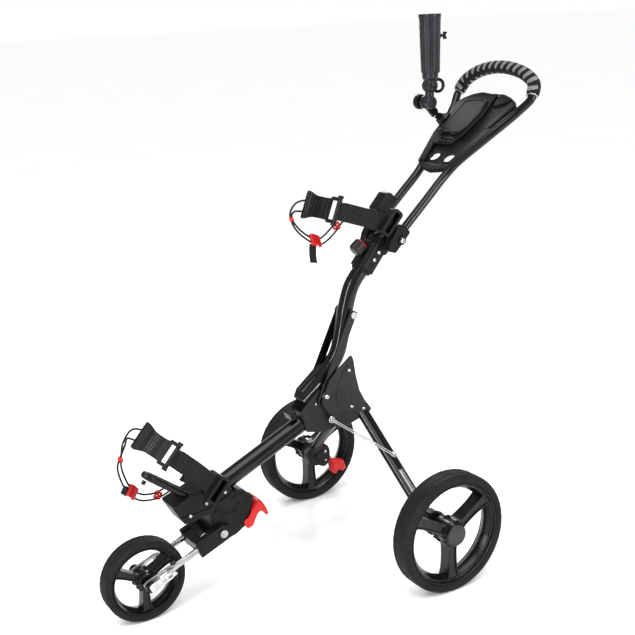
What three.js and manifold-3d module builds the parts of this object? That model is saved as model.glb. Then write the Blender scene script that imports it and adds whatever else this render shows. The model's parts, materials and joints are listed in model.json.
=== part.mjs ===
// Three-wheeled golf push trolley, standing unfolded.
// Millimetres. +Z is up, the front wheel points to -Y and +X is the trolley's left side.
// Every sub-part is laid out from the rear axle line (y = 0) at ground level (z = 0); the finished
// group is then shifted along Y so that the origin is below the middle of the whole trolley.

import * as THREE from "three";
import { mergeVertices } from "three/addons/utils/BufferGeometryUtils.js";
import Module from "manifold-3d";

const wasm = await Module();
wasm.setup();

// ---------- driving dimensions ----------

const GAP = 0.35;                         // clearance between neighbouring solids
const ORIGIN_Y = -144;                    // middle of the trolley, measured from the rear axle

const REAR_WHEEL = { radius: 145, seat: 113, width: 59, hub: 30, hubWidth: 62, bore: 8.4, spoke: 25 };
const FRONT_WHEEL = { radius: 98, seat: 73, width: 50, hub: 22, hubWidth: 50, bore: 6.4, spoke: 19 };
const HALF_TRACK = 310;
const FRONT_AXLE = [-640, 98];            // [y, z]
const SPOKE_ANGLES = [30, 150, 270];

const FORK_BOLT = [-451, 170.5];          // fork folding pivot
const FORK_X = 38;
const TUBE_LOW = [-417, 275.6];           // lower main tube, front end
const TUBE_HIGH = [-204.5, 365.7];        // lower main tube, end in the centre bracket
const TUBE_RADIUS = 21;
const MAST_RADIUS = 19.5;
const MAST_PIVOT = [-149, 434];
const BRACE_TOP = [-60, 619];
const BRACE_X = 29.5;
const COVER_X = [33, 39];
const LEG_HINGE = [29.5, 372];            // [x, z]
const LEG_TOP = [33, -43, 368];
const LEG_END = [256, -19, 161];
const LEG_SIZE = [33, 24];
const LEG_FOLD = 30;                      // degrees of inward fold that the covers leave room for
const STAY_RING = [43.5, -140, 375];
const STAY_CLIP = [149, -34, 291];

const HINGE_BOLT = [66, 788];             // handle folding pivot
const TWIN_X = 52;
const HANDLE_RADIUS = 10.5;
const HANDLE_SLOPE = [0.779, 0.627];      // direction of the diverging handle arms
const ARMS_START = [220, 938];
const GRIP_RADIUS = 16;
const BAG_AXIS = [0.68, 0.73];            // direction along the bag
const BAG_OUT = [-0.73, 0.68];            // direction from the trolley out to the bag
const SLACK_AXIS = [0.37, 0.93];          // width direction of the upper strap, which hangs slack
const UMBRELLA = [-104, 291];             // [x, y] of the umbrella tube

// Cord routes, [x, y, z]
const LOWER_CORD = [
  [26, -629, 462], [14, -642, 458], [0, -652, 434], [-8, -660, 402], [-14, -664, 378], [-32, -650, 330],
  [-54, -628, 290], [-68, -598, 262], [-72, -564, 254], [-76, -540, 256], [-74, -521, 266],
];
const UPPER_CORD = [
  [-8, -164, 898], [-16, -178, 890], [-24, -186, 872], [-30, -176, 848], [-36, -144, 815], [-46, -98, 792],
  [-58, -54, 808], [-66, -22, 832], [-70, 2, 846],
];
const LOWER_STRAP = [[77, -476, 304], [50, -512, 344], [38, -558, 390], [28, -626, 456]];
const UPPER_STRAP = [[77, 24, 835], [50, -46, 860], [32, -94, 877], [-4, -158, 896]];

// ---------- colours ----------

const paint = (color, roughness, metalness) => new THREE.MeshStandardMaterial({ color, roughness, metalness });
const GLOSS_BLACK = paint(0x0c0c0d, 0.2, 0.1);
const BLACK_PLASTIC = paint(0x2b2a2a, 0.55, 0);
const COVER_PLASTIC = paint(0x38363a, 0.5, 0);
const RIM_BLACK = paint(0x161616, 0.4, 0);
const TYRE = paint(0x2d2a28, 0.9, 0);
const SILVER = paint(0xb9bbbd, 0.3, 0.9);
const RED = paint(0xd42a25, 0.4, 0);
const WEBBING = paint(0x1b1a1b, 0.85, 0);
const FOAM = paint(0x242424, 0.9, 0);

// ---------- solids ----------

const trolley = new THREE.Group();

function toSolid(geometry) {
  geometry.deleteAttribute("normal");
  geometry.deleteAttribute("uv");
  const merged = mergeVertices(geometry, 1e-3);
  return new wasm.Manifold(new wasm.Mesh({
    numProp: 3,
    vertProperties: new Float32Array(merged.attributes.position.array),
    triVerts: new Uint32Array(merged.index.array),
  }));
}

function toGeometry(solid) {
  const mesh = solid.getMesh();
  const geometry = new THREE.BufferGeometry();
  geometry.setAttribute("position", new THREE.BufferAttribute(mesh.vertProperties, 3));
  geometry.setIndex(new THREE.BufferAttribute(mesh.triVerts, 1));
  return geometry;
}

function add(name, solid, material) {
  const mesh = new THREE.Mesh(toGeometry(solid), material);
  mesh.name = name;
  trolley.add(mesh);
}

const join = (first, ...others) => others.reduce((sum, other) => sum.add(other), first);
const cut = (first, ...others) => others.reduce((rest, other) => rest.subtract(other), first);

// Copy of a solid, moved by a matrix
function moved(solid, matrix) {
  const geometry = toGeometry(solid).applyMatrix4(matrix);
  if (matrix.determinant() < 0) {
    const index = geometry.index.array;
    for (let i = 0; i < index.length; i += 3) {
      [index[i], index[i + 1]] = [index[i + 1], index[i]];
    }
  }
  return toSolid(geometry);
}

const shifted = (solid, x, y, z) => moved(solid, new THREE.Matrix4().makeTranslation(x, y, z));
const mirrored = (solid) => moved(solid, new THREE.Matrix4().makeScale(-1, 1, 1));

// What is left of a solid once a neighbour and the clearance round it are taken away
function clearOf(solid, neighbour, gap = GAP) {
  let rest = solid;
  for (const [x, y, z] of [[gap, 0, 0], [-gap, 0, 0], [0, gap, 0], [0, -gap, 0], [0, 0, gap], [0, 0, -gap]]) {
    rest = rest.subtract(shifted(neighbour, x, y, z));
  }
  return rest;
}

// Side-view outline [y, z] extruded from x0 to x1
function plate(outline, x0, x1) {
  const shape = new THREE.Shape(outline.map(([y, z]) => new THREE.Vector2(y, z)));
  const geometry = new THREE.ExtrudeGeometry(shape, { depth: x1 - x0, bevelEnabled: false });
  const sideView = new THREE.Matrix4().set(0, 0, 1, x0, 1, 0, 0, 0, 0, 1, 0, 0, 0, 0, 0, 1);
  return toSolid(geometry.applyMatrix4(sideView));
}

// Placement with local Z from p to q and local X as near as possible to the given side direction
function placement(p, q, side = [1, 0, 0]) {
  const start = new THREE.Vector3(...p);
  const end = new THREE.Vector3(...q);
  const z = end.clone().sub(start).normalize();
  const y = z.clone().cross(new THREE.Vector3(...side)).normalize();
  const x = y.clone().cross(z);
  return new THREE.Matrix4().makeBasis(x, y, z).setPosition(start.add(end).multiplyScalar(0.5));
}

const distance = (p, q) => new THREE.Vector3(...p).distanceTo(new THREE.Vector3(...q));

// Rectangular bar from p to q
function bar(p, q, width, height, side) {
  const geometry = new THREE.BoxGeometry(width, height, distance(p, q));
  return toSolid(geometry.applyMatrix4(placement(p, q, side)));
}

// Round rod from p to q; the end radius may differ
function rod(p, q, radius, sides = 16, endRadius = radius) {
  const geometry = new THREE.CylinderGeometry(endRadius, radius, distance(p, q), sides);
  geometry.rotateX(Math.PI / 2);
  return toSolid(geometry.applyMatrix4(placement(p, q, Math.abs(q[0] - p[0]) > 1 ? [0, 1, 0.01] : [1, 0, 0])));
}

// Oval bar from p to q
function ovalBar(p, q, width, height, side, sides = 20) {
  const geometry = new THREE.CylinderGeometry(0.5, 0.5, distance(p, q), sides);
  geometry.rotateX(Math.PI / 2).scale(width, height, 1);
  return toSolid(geometry.applyMatrix4(placement(p, q, side)));
}

const rodX = (x0, x1, [y, z], radius, sides) => rod([x0, y, z], [x1, y, z], radius, sides);
const boxAt = (x0, x1, y0, y1, z0, z1) => plate([[y0, z0], [y1, z0], [y1, z1], [y0, z1]], x0, x1);

// Tube of round section along a smooth curve through points
function tube(points, radius, sides, steps) {
  const curve = new THREE.CatmullRomCurve3(points.map((p) => new THREE.Vector3(...p)), false, "centripetal");
  const section = new THREE.Shape();
  for (let i = 0; i < sides; i += 1) {
    const angle = (2 * Math.PI * i) / sides;
    section[i ? "lineTo" : "moveTo"](radius * Math.cos(angle), radius * Math.sin(angle));
  }
  return toSolid(new THREE.ExtrudeGeometry(section, { steps, extrudePath: curve, bevelEnabled: false }));
}

// Profile [radius, x] turned round the X axis at [y, z]
function turned(profile, [y, z], segments) {
  const points = profile.map(([radius, x]) => new THREE.Vector2(radius, x));
  const geometry = new THREE.LatheGeometry(points, segments);
  geometry.rotateZ(-Math.PI / 2);
  return toSolid(geometry.applyMatrix4(new THREE.Matrix4().makeTranslation(0, y, z)));
}

const onBag = ([y, z], along, out) => [
  y + along * BAG_AXIS[0] + out * BAG_OUT[0],
  z + along * BAG_AXIS[1] + out * BAG_OUT[1],
];

// Box in the bag's own directions: x0..x1, along the bag, and out from the trolley
function bagBox(origin, [x0, x1], [a0, a1], [o0, o1]) {
  return plate([onBag(origin, a0, o0), onBag(origin, a1, o0), onBag(origin, a1, o1), onBag(origin, a0, o1)]
    .reverse(), x0, x1);
}

// ---------- wheels ----------

function tyre({ radius, seat, width }, centre) {
  const half = width / 2;
  const profile = [
    [seat, -half + 7], [seat + 6, -half + 2], [radius - 20, -half], [radius - 6, -half + 4],
    [radius, -half + 13], [radius, half - 13], [radius - 6, half - 4], [radius - 20, half],
    [seat + 6, half - 2], [seat, half - 7], [seat, -half + 7],
  ];
  return turned(profile, centre, 36);
}

function rim({ seat, width, hub, hubWidth, bore, spoke }, centre) {
  const outer = seat - GAP;
  const half = width / 2 - 7;
  const barrel = [[outer, -half], [outer, half], [outer - 6, half], [outer - 9, 0], [outer - 6, -half], [outer, -half]];
  const halfHub = hubWidth / 2;
  const hubRing = [[bore, -halfHub], [hub, -halfHub], [hub, halfHub], [bore, halfHub], [bore, -halfHub]];
  let solid = join(turned(barrel, centre, 36), turned(hubRing, centre, 20));
  for (const degrees of SPOKE_ANGLES) {
    const angle = THREE.MathUtils.degToRad(degrees);
    const at = (r) => [0, centre[0] + r * Math.cos(angle), centre[1] + r * Math.sin(angle)];
    solid = solid.add(bar(at(hub - 6), at(outer - 5), spoke, half * 1.1, [0, -Math.sin(angle), Math.cos(angle)]));
  }
  return solid;
}

function addRearWheel(side, label) {
  const centre = [0, REAR_WHEEL.radius];
  const place = (solid) => shifted(solid, side * HALF_TRACK, 0, 0);
  add(`rear_tyre_${label}`, place(tyre(REAR_WHEEL, centre)), TYRE);
  add(`rear_rim_${label}`, place(rim(REAR_WHEEL, centre)), RIM_BLACK);
  const inner = side * (HALF_TRACK - 33.5);
  const outer = side * (HALF_TRACK + 30);
  add(`rear_axle_${label}`, rodX(inner, outer, centre, REAR_WHEEL.bore - GAP), SILVER);
}

function addFrontWheel() {
  add("front_tyre", tyre(FRONT_WHEEL, FRONT_AXLE), TYRE);
  add("front_rim", rim(FRONT_WHEEL, FRONT_AXLE), RIM_BLACK);
  const shaft = rodX(-51, 51, FRONT_AXLE, FRONT_WHEEL.bore - GAP);
  const headLeft = rodX(42 + GAP, 53, FRONT_AXLE, 13);
  add("front_axle", join(shaft, headLeft, mirrored(headLeft)), BLACK_PLASTIC);
}

// ---------- front fork and its folding housing ----------

const forkSpan = Math.hypot(FORK_BOLT[0] - FRONT_AXLE[0], FORK_BOLT[1] - FRONT_AXLE[1]);
const alongFork = (distanceFromAxle, across = 0) => {
  const dy = (FORK_BOLT[0] - FRONT_AXLE[0]) / forkSpan;
  const dz = (FORK_BOLT[1] - FRONT_AXLE[1]) / forkSpan;
  return [
    FRONT_AXLE[0] + dy * distanceFromAxle - dz * across,
    FRONT_AXLE[1] + dz * distanceFromAxle + dy * across,
  ];
};

function forkBar() {
  const outline = [alongFork(-14, -10), alongFork(forkSpan - 26, -10), alongFork(forkSpan - 26, 10), alongFork(-14, 10)];
  return cut(plate(outline, FORK_X - 4, FORK_X + 4), rodX(0, 60, FRONT_AXLE, FRONT_WHEEL.bore));
}

function trackingLever() {
  const blade = plate([alongFork(-2, -9), alongFork(52, -9), alongFork(62, 0), alongFork(52, 9), alongFork(-2, 9)],
    FORK_X + 16, FORK_X + 19);
  return cut(blade, plate([alongFork(30, -4), alongFork(52, -4), alongFork(52, 4), alongFork(30, 4)], 40, 60));
}

// Moulded yoke: a sleeve round each fork bar, joined by a bridge behind the front wheel
function forkYoke(bars, bolt) {
  const side = plate([alongFork(133, -21), alongFork(forkSpan + 6, -21), alongFork(forkSpan + 22, -8),
    alongFork(forkSpan + 22, 8), alongFork(forkSpan + 6, 21), alongFork(133, 21)], 31, 45);
  const bridge = plate([alongFork(133, -17), alongFork(156, -17), alongFork(156, 17), alongFork(133, 17)], -33, 33);
  return cut(clearOf(clearOf(join(side, mirrored(side), bridge), bars[0]), bars[1]), bolt);
}

function frontHousing(cradle, bolt, mainTube) {
  const outline = [[-474, 158], [-462, 143], [-440, 141], [-407, 152], [-378, 168], [-358, 231], [-384, 256],
    [-404, 262], [-470, 232], [-476, 200]];
  return clearOf(clearOf(cut(plate(outline, -30, 30), bolt), cradle), mainTube);
}

function forkLever() {
  return plate([[-354, 224], [-340, 214], [-324, 192], [-316, 170], [-345, 152], [-380, 152], [-373.5, 163]],
    -32, 32);
}

function addFork(cradle, mainTube) {
  const bar = forkBar();
  const bars = [bar, mirrored(bar)];
  const boltHole = rodX(-60, 60, FORK_BOLT, 6.4);
  const shank = rodX(-50, 50, FORK_BOLT, 6);
  const head = rodX(45 + GAP, 51, FORK_BOLT, 10);
  add("fork_bar_left", bars[0], SILVER);
  add("fork_bar_right", bars[1], SILVER);
  add("tracking_lever", trackingLever(), SILVER);
  add("fork_yoke", forkYoke(bars, boltHole), BLACK_PLASTIC);
  add("fork_pivot_bolt", join(shank, head, mirrored(head)), SILVER);
  add("front_housing", frontHousing(cradle, boltHole, mainTube), BLACK_PLASTIC);
  add("fork_release_lever", forkLever(), RED);
}

// ---------- lower tube and lower bag cradle ----------

const LOWER_BAG = [-470, 250];

const lowerTube = () => rod([0, ...TUBE_LOW], [0, ...TUBE_HIGH], TUBE_RADIUS, 24);

// Arm that rises beside the bag and ends in a frame for the webbing
function strapArm(origin, along, reach, rise) {
  const arm = bar([27, ...onBag(origin, along, reach - rise)], [74, ...onBag(origin, along, reach)], 58, 12,
    [0, ...BAG_AXIS]);
  const frame = bagBox(origin, [67, 90], [along - 33, along + 33], [reach - 12, reach + 14]);
  const slot = bagBox(origin, [72, 84], [along - 28, along + 28], [reach - 6, reach + 20]);
  return cut(join(arm, frame), slot);
}

// Slender arm on the far side, which holds the end of the elastic cord
function hookArm(origin, along, reach, rise) {
  return bar([-27, ...onBag(origin, along, reach - rise)], [-74, ...onBag(origin, along, reach)], 22, 10,
    [0, ...BAG_AXIS]);
}

function lowerCradle() {
  const base = plate([[-567, 264], [-540, 216], [-480, 222], [-425, 240], [-407, 251.5], [-427.6, 299.4], [-480, 292]],
    -33, 33);
  return join(base, strapArm(LOWER_BAG, 34, 40, 30), hookArm(LOWER_BAG, 10, 34, 30));
}

// Padded rest for the foot of the bag: a flat U of tube that hinges on the cradle
function bagRest() {
  const out = (x, reach) => [x, -505 - 0.78 * reach, 262 + 0.62 * reach];
  const points = [out(15, 0), out(15, 40), out(14, 100), out(11, 128), out(0, 138), out(-11, 128), out(-14, 100),
    out(-15, 40), out(-15, 0)];
  return tube(points, 7.5, 10, 30);
}

const between = (p, q, t) => p.map((value, i) => value + (q[i] - value) * t);

// Webbing from the arm's frame, sewn to a buckle with a slot through it
function strapBuckle([anchor, start, end], widthAxis) {
  const side = [0, ...widthAxis];
  const lead = between(anchor, start, 0.3);
  lead[0] = anchor[0];
  const tail = bar(anchor, lead, 50, 3, side);
  const band = bar(between(anchor, lead, 0.9), between(start, end, 0.1), 50, 3, side);
  const frame = bar(start, end, 62, 9, side);
  const slot = bar(between(start, end, 0.4), between(start, end, 0.72), 40, 20, side);
  return cut(join(tail, band, frame), slot);
}

// Ribbed quick-release lever, waisted between the buckle and its wide tip
function strapLever([, , start, end], widthAxis) {
  const side = [0, ...widthAxis];
  const neck = bar(between(start, end, 0.1), between(start, end, 0.7), 50, 10, side);
  const tip = bar(between(start, end, 0.62), end, 64, 15, side);
  return join(neck, tip);
}

// Moulded slider with a hole for the cord
function cordSlider(centre, size, cord) {
  const [x, y, z] = centre;
  const [w, d, h] = size;
  return cut(boxAt(x - w / 2, x + w / 2, y - d / 2, y + d / 2, z - h / 2, z + h / 2), cord);
}

function addStrap(label, strap, widthAxis, route, sliders) {
  const cord = tube(route, 2.3, 8, 44);
  const cordHole = tube(route, 3, 8, 44);
  const buckle = strapBuckle(strap, widthAxis);
  add(`${label}_strap_buckle`, buckle, WEBBING);
  add(`${label}_strap_lever`, clearOf(strapLever(strap, widthAxis), buckle), BLACK_PLASTIC);
  add(`${label}_cord`, cord, WEBBING);
  for (const [name, centre, size] of sliders) {
    add(`${label}_${name}`, cordSlider(centre, size, cordHole), RED);
  }
}

function addLowerCradle(cradle) {
  add("lower_cradle", cradle, BLACK_PLASTIC);
  add("bag_rest", clearOf(bagRest(), cradle), BLACK_PLASTIC);
  addStrap("lower", LOWER_STRAP, BAG_AXIS, LOWER_CORD, [
    ["cord_slider", [-12, -662, 392], [26, 16, 14]],
    ["cord_hook", [-62, -612, 272], [34, 28, 34]],
    ["cord_guide", [-72, -556, 254], [14, 16, 34]],
  ]);
}

// ---------- centre bracket ----------

function centreBracket(legRoom) {
  const outline = [[-214, 405], [-200, 352], [-150, 340], [-100, 352], [-58, 372], [-52, 398], [-72, 412],
    [-120, 420], [-132, 446], [-165, 450], [-190, 428]];
  const cheek = plate(outline, 22, 26);
  const boss = plate([[-214, 405], [-200, 352], [-158, 344], [-174, 368], [-193, 392]], -26, 26);
  const tubeEnd = rod([0, ...TUBE_LOW], [0, ...TUBE_HIGH], TUBE_RADIUS + 0.4, 24);
  return cut(join(cheek, mirrored(cheek), boss), tubeEnd, legRoom, mirrored(legRoom), rodX(-60, 60, MAST_PIVOT, 6.4));
}

function sideCover(legRoom, ringBolt) {
  const outline = [[-139, 420], [-143, 400], [-128, 362], [-108, 346], [-82, 342], [-12, 369], [-25, 392], [-44, 436],
    [-58, 480], [-67, 522], [-76, 504], [-104, 468]];
  return cut(clearOf(plate(outline, ...COVER_X), ringBolt), legRoom);
}

function throughBolt(at, radius, headRadius, headFrom, headTo) {
  const head = rodX(headFrom, headTo, at, headRadius, 12);
  return join(rodX(-headFrom - 1, headFrom + 1, at, radius, 12), head, mirrored(head));
}

function addCentre(legRoom, ringBolt) {
  const cover = sideCover(legRoom, ringBolt);
  add("centre_bracket", centreBracket(legRoom), COVER_PLASTIC);
  add("cover_left", cover, COVER_PLASTIC);
  add("cover_right", mirrored(cover), COVER_PLASTIC);
  add("mast_latch", boxAt(-13, 13, -240, -216, 386, 406), BLACK_PLASTIC);
}

// ---------- mast ----------

const MAST_ROUTE = [[0, -190, 437], [0, -150, 465], [0, -112, 492], [0, -88, 526], [0, -72, 580], [0, -60, 632],
  [0, -40, 684], [0, -4, 726], [0, 22, 757]];

function addMast() {
  const mast = tube(MAST_ROUTE, MAST_RADIUS, 16, 26);
  const lug = plate([[-158, 424], [-140, 424], [-128, 440], [-120, 472], [-165, 446]], -12, 12);
  const wingHole = rodX(-60, 60, BRACE_TOP, 4.4, 12);
  add("mast", cut(join(mast, lug), wingHole, rodX(-60, 60, MAST_PIVOT, 6.4)), GLOSS_BLACK);
  const brace = cut(bar([BRACE_X, -165, 413], [BRACE_X, -55, 629], 5, 20), wingHole, rodX(-60, 60, MAST_PIVOT, 6.4));
  add("brace_left", brace, GLOSS_BLACK);
  add("brace_right", mirrored(brace), GLOSS_BLACK);
  add("mast_pivot_bolt", throughBolt(MAST_PIVOT, 6, 9, BRACE_X + 2.5 + GAP, BRACE_X + 6.5), SILVER);
  add("brace_wing_bolt", throughBolt(BRACE_TOP, 4, 9, BRACE_X + 2.5 + GAP, BRACE_X + 9), SILVER);
}

// ---------- legs and stays ----------

function legSolid() {
  const whole = ovalBar(LEG_TOP, LEG_END, LEG_SIZE[0], LEG_SIZE[1], [0, 1, 0]);
  return cut(whole, boxAt(-20, 27.2, -100, 40, 300, 420));
}

// Room that the leg needs while it folds inward
function legRoom(leg) {
  let room = null;
  for (let degrees = 0; degrees <= LEG_FOLD; degrees += LEG_FOLD / 3) {
    const turn = new THREE.Matrix4().makeTranslation(LEG_HINGE[0], 0, LEG_HINGE[1])
      .multiply(new THREE.Matrix4().makeRotationY(THREE.MathUtils.degToRad(degrees)))
      .multiply(new THREE.Matrix4().makeTranslation(-LEG_HINGE[0], 0, -LEG_HINGE[1]));
    const copy = moved(leg, turn);
    room = room ? room.add(copy) : copy;
  }
  return join(room, shifted(room, 0, 1, 1), shifted(room, 0, -1, 1));
}

function stay(leg) {
  const [x, y, z] = STAY_RING;
  const rodPart = rod(STAY_RING, STAY_CLIP, 2.6, 10);
  const ring = rodX(x - 3.5, x + 3.5, [y, z], 7, 14);
  const clip = bar([STAY_CLIP[0] - 6, STAY_CLIP[1] - 4, STAY_CLIP[2] + 5],
    [STAY_CLIP[0] + 6, STAY_CLIP[1] + 4, STAY_CLIP[2] - 5], 14, 8);
  return clearOf(join(rodPart, ring, clip), leg);
}

function foot(leg) {
  const outline = [[-38, 138], [-14, 124], [14, 126], [20, 145], [14, 166], [-6, 182], [-34, 182]];
  return clearOf(plate(outline, 250, 276), leg);
}

function addLegs(leg) {
  const pairs = [["leg", leg, GLOSS_BLACK], ["leg_stay", stay(leg), SILVER]];
  for (const [name, solid, material] of pairs) {
    add(`${name}_left`, solid, material);
    add(`${name}_right`, mirrored(solid), material);
  }
  const bracket = foot(leg);
  const brakeDrum = rodX(-276, -256, [0, 145], 34, 24);
  add("axle_bracket_left", bracket, BLACK_PLASTIC);
  add("axle_bracket_right", clearOf(join(mirrored(bracket), brakeDrum), mirrored(leg)), BLACK_PLASTIC);
  add("brake_pedal", plate([[36, 138], [46, 118], [83, 105], [92, 79], [81, 71], [66, 80], [57, 67], [44, 77],
    [38, 108], [30, 122]], -274, -256), RED);
}

// ---------- upper cradle and handle hinge ----------

const UPPER_BAG = [38, 806];

function upperClamp() {
  const outline = [[-22, 748], [17, 717], [51, 756], [76, 773], [78, 796], [58, 804], [30, 790]];
  const mast = tube(MAST_ROUTE, MAST_RADIUS + 0.5, 16, 26);
  return cut(plate(outline, -28, 28), mast, rodX(-80, 80, HINGE_BOLT, 6.4));
}

function upperCradle() {
  const origin = UPPER_BAG;
  const base = bagBox(origin, [-30, 30], [-2, 52], [-4, 22]);
  const pad = bagBox(origin, [-12, 24], [28, 86], [10, 48]);
  return join(base, strapArm(origin, 13, 36, 22), hookArm(origin, 13, 36, 22), pad);
}

function hingeBlock(handle) {
  const outline = [[56, 827], [76, 823], [95, 804], [49, 758], [27, 766], [35, 792]];
  const cheek = plate(outline, 40, 65);
  const bridge = plate([[83, 810], [90.5, 801], [83, 794.5], [75.5, 804]], -65, 65);
  const solid = join(cheek, mirrored(cheek), bridge);
  return cut(clearOf(solid, handle), rodX(-80, 80, HINGE_BOLT, 6.4));
}

function addUpper(handle) {
  const clamp = upperClamp();
  const hinge = hingeBlock(handle);
  const webbing = strapBuckle(UPPER_STRAP, SLACK_AXIS);
  const cradle = clearOf(clearOf(clearOf(upperCradle(), clamp), hinge, 1), webbing);
  add("upper_clamp", clamp, BLACK_PLASTIC);
  add("upper_cradle", cradle, BLACK_PLASTIC);
  add("height_knob", rod([0, -31, 764], [0, -2, 786], 16, 16), BLACK_PLASTIC);
  addStrap("upper", UPPER_STRAP, SLACK_AXIS, UPPER_CORD, [
    ["cord_slider", [-28, -181, 860], [26, 16, 14]],
    ["cord_hook", [-42, -116, 798], [34, 34, 30]],
    ["cord_guide", [-63, -36, 822], [14, 18, 34]],
  ]);
  add("handle_hinge_block", hinge, BLACK_PLASTIC);
  add("handle_hinge_bolt", throughBolt(HINGE_BOLT, 6, 9, 65 + GAP, 70), SILVER);
}

// ---------- handle ----------

const alongArm = (u, lift = 0) => [
  ARMS_START[0] + HANDLE_SLOPE[0] * u - HANDLE_SLOPE[1] * lift,
  ARMS_START[1] + HANDLE_SLOPE[1] * u + HANDLE_SLOPE[0] * lift,
];
const HALF_HANDLE = [
  [TWIN_X, 72, 804], [TWIN_X, 150, 873], [TWIN_X, 205, 922], [60, ...alongArm(24)], [90, ...alongArm(112)],
  [122, ...alongArm(205)], [138, 408, 1098], [128, 425, 1128], [92, 432, 1150], [46, 434, 1162],
];
const GRIP_HALF = HALF_HANDLE.slice(6);
const flipX = ([x, y, z]) => [-x, y, z];
const bothSides = (half, middle) => [...half, middle, ...half.map(flipX).reverse()];
const HANDLE_TOP = [0, 434, 1166];

function handleFrame() {
  return tube(bothSides(HALF_HANDLE, HANDLE_TOP), HANDLE_RADIUS, 10, 52);
}

function gripSolid() {
  const route = bothSides(GRIP_HALF, HANDLE_TOP);
  const longer = bothSides(HALF_HANDLE.slice(5), HANDLE_TOP);
  return cut(tube(route, GRIP_RADIUS, 12, 22), tube(longer, HANDLE_RADIUS + 1.9, 10, 26));
}

const CONSOLE_LIFT = [-8, 13];
const insideArm = (u) => TWIN_X + 0.332 * u - HANDLE_RADIUS - 3;

function consoleSolid(handle) {
  const outline = [[0, -20], [30, -14], [64, -2], [97, 100], [100, 132], [insideArm(137), 137], [insideArm(215), 215],
    [92, 232], [70, 243], [40, 252], [0, 256]];
  const both = [...outline, ...outline.slice(1, -1).map(([x, u]) => [-x, u]).reverse()];
  const shape = new THREE.Shape(both.map(([x, u]) => new THREE.Vector2(x, u)));
  const oval = (x, u, w, h) => new THREE.Path().absellipse(x, u, w, h, 0, 2 * Math.PI);
  shape.holes.push(oval(26, 30, 14, 11), oval(-26, 30, 14, 11));
  const geometry = new THREE.ExtrudeGeometry(shape, { depth: CONSOLE_LIFT[1] - CONSOLE_LIFT[0], bevelEnabled: false, curveSegments: 6 });
  const plane = new THREE.Matrix4().makeBasis(
    new THREE.Vector3(1, 0, 0),
    new THREE.Vector3(0, ...HANDLE_SLOPE),
    new THREE.Vector3(0, -HANDLE_SLOPE[1], HANDLE_SLOPE[0]),
  ).setPosition(0, ...alongArm(0, CONSOLE_LIFT[0]));
  return clearOf(toSolid(geometry.applyMatrix4(plane)), handle);
}

function scoreClip() {
  return bar([-30, ...alongArm(100, 16)], [-30, ...alongArm(222, 16)], 96, 5);
}

function addHandle(handle, consolePlate) {
  add("handle_frame", handle, GLOSS_BLACK);
  add("handle_grip", gripSolid(), FOAM);
  add("console", consolePlate, BLACK_PLASTIC);
  add("score_clip", scoreClip(), BLACK_PLASTIC);
}

// ---------- umbrella holder ----------

function addUmbrellaHolder(handle, consolePlate) {
  const [x, y] = UMBRELLA;
  const grab = bar([-100, ...alongArm(142)], [-107, ...alongArm(164)], 34, 34);
  const arm = bar([-126, 322, 1052], [-126, 286, 1092], 8, 22);
  const bridge = bar([-128, 330, 1046], [-112, 334, 1044], 16, 16);
  const bracket = clearOf(clearOf(join(grab, bridge, arm), handle), consolePlate);
  add("umbrella_bracket", bracket, BLACK_PLASTIC);
  add("umbrella_knob", rod([x - 26.5, y - 8, 1086], [x - 44, y - 8, 1086], 19, 16), BLACK_PLASTIC);
  const neck = join(rod([x - 17.5, y - 8, 1086], [x + 10, y - 8, 1086], 13, 16), rod([x, y - 6, 1092], [x, y, 1166], 10, 14));
  const shell = rod([x, y, 1158], [x, y, 1302], 23.5, 20, 28.5);
  const bore = rod([x, y, 1170], [x, y, 1310], 19.5, 20, 21);
  const screwHole = rod([x, y + 10, 1248], [x, y + 40, 1248], 4.4, 10);
  add("umbrella_tube", cut(join(neck, shell), bore, screwHole), BLACK_PLASTIC);
  const screw = join(rod([x, y + 21, 1248], [x, y + 46, 1248], 4, 10), bar([x, y + 44, 1248], [x, y + 56, 1248], 4, 20));
  add("umbrella_screw", screw, BLACK_PLASTIC);
}

// ---------- assembly ----------

const leg = legSolid();
const room = legRoom(leg);
const ringBolt = rodX(30, STAY_RING[0] + 4, [STAY_RING[1], STAY_RING[2]], 7.5, 14);
const cradle = lowerCradle();
const mainTube = lowerTube();
const handle = handleFrame();
const consolePlate = consoleSolid(handle);

addRearWheel(1, "left");
addRearWheel(-1, "right");
addFrontWheel();
addFork(cradle, mainTube);
add("lower_tube", mainTube, GLOSS_BLACK);
addLowerCradle(cradle);
addCentre(room, ringBolt);
addMast();
addLegs(leg);
addUpper(handle);
addHandle(handle, consolePlate);
addUmbrellaHolder(handle, consolePlate);

trolley.position.y = -ORIGIN_Y;

export default trolley;
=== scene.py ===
"""Looks of the golf push trolley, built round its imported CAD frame.

Points are written in millimetres from the rear axle line at ground level, as in the CAD source,
and to_row() turns them into the frame's own metres.
"""
import json
import math

import bmesh
import bpy
from mathutils import Matrix, Vector


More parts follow.
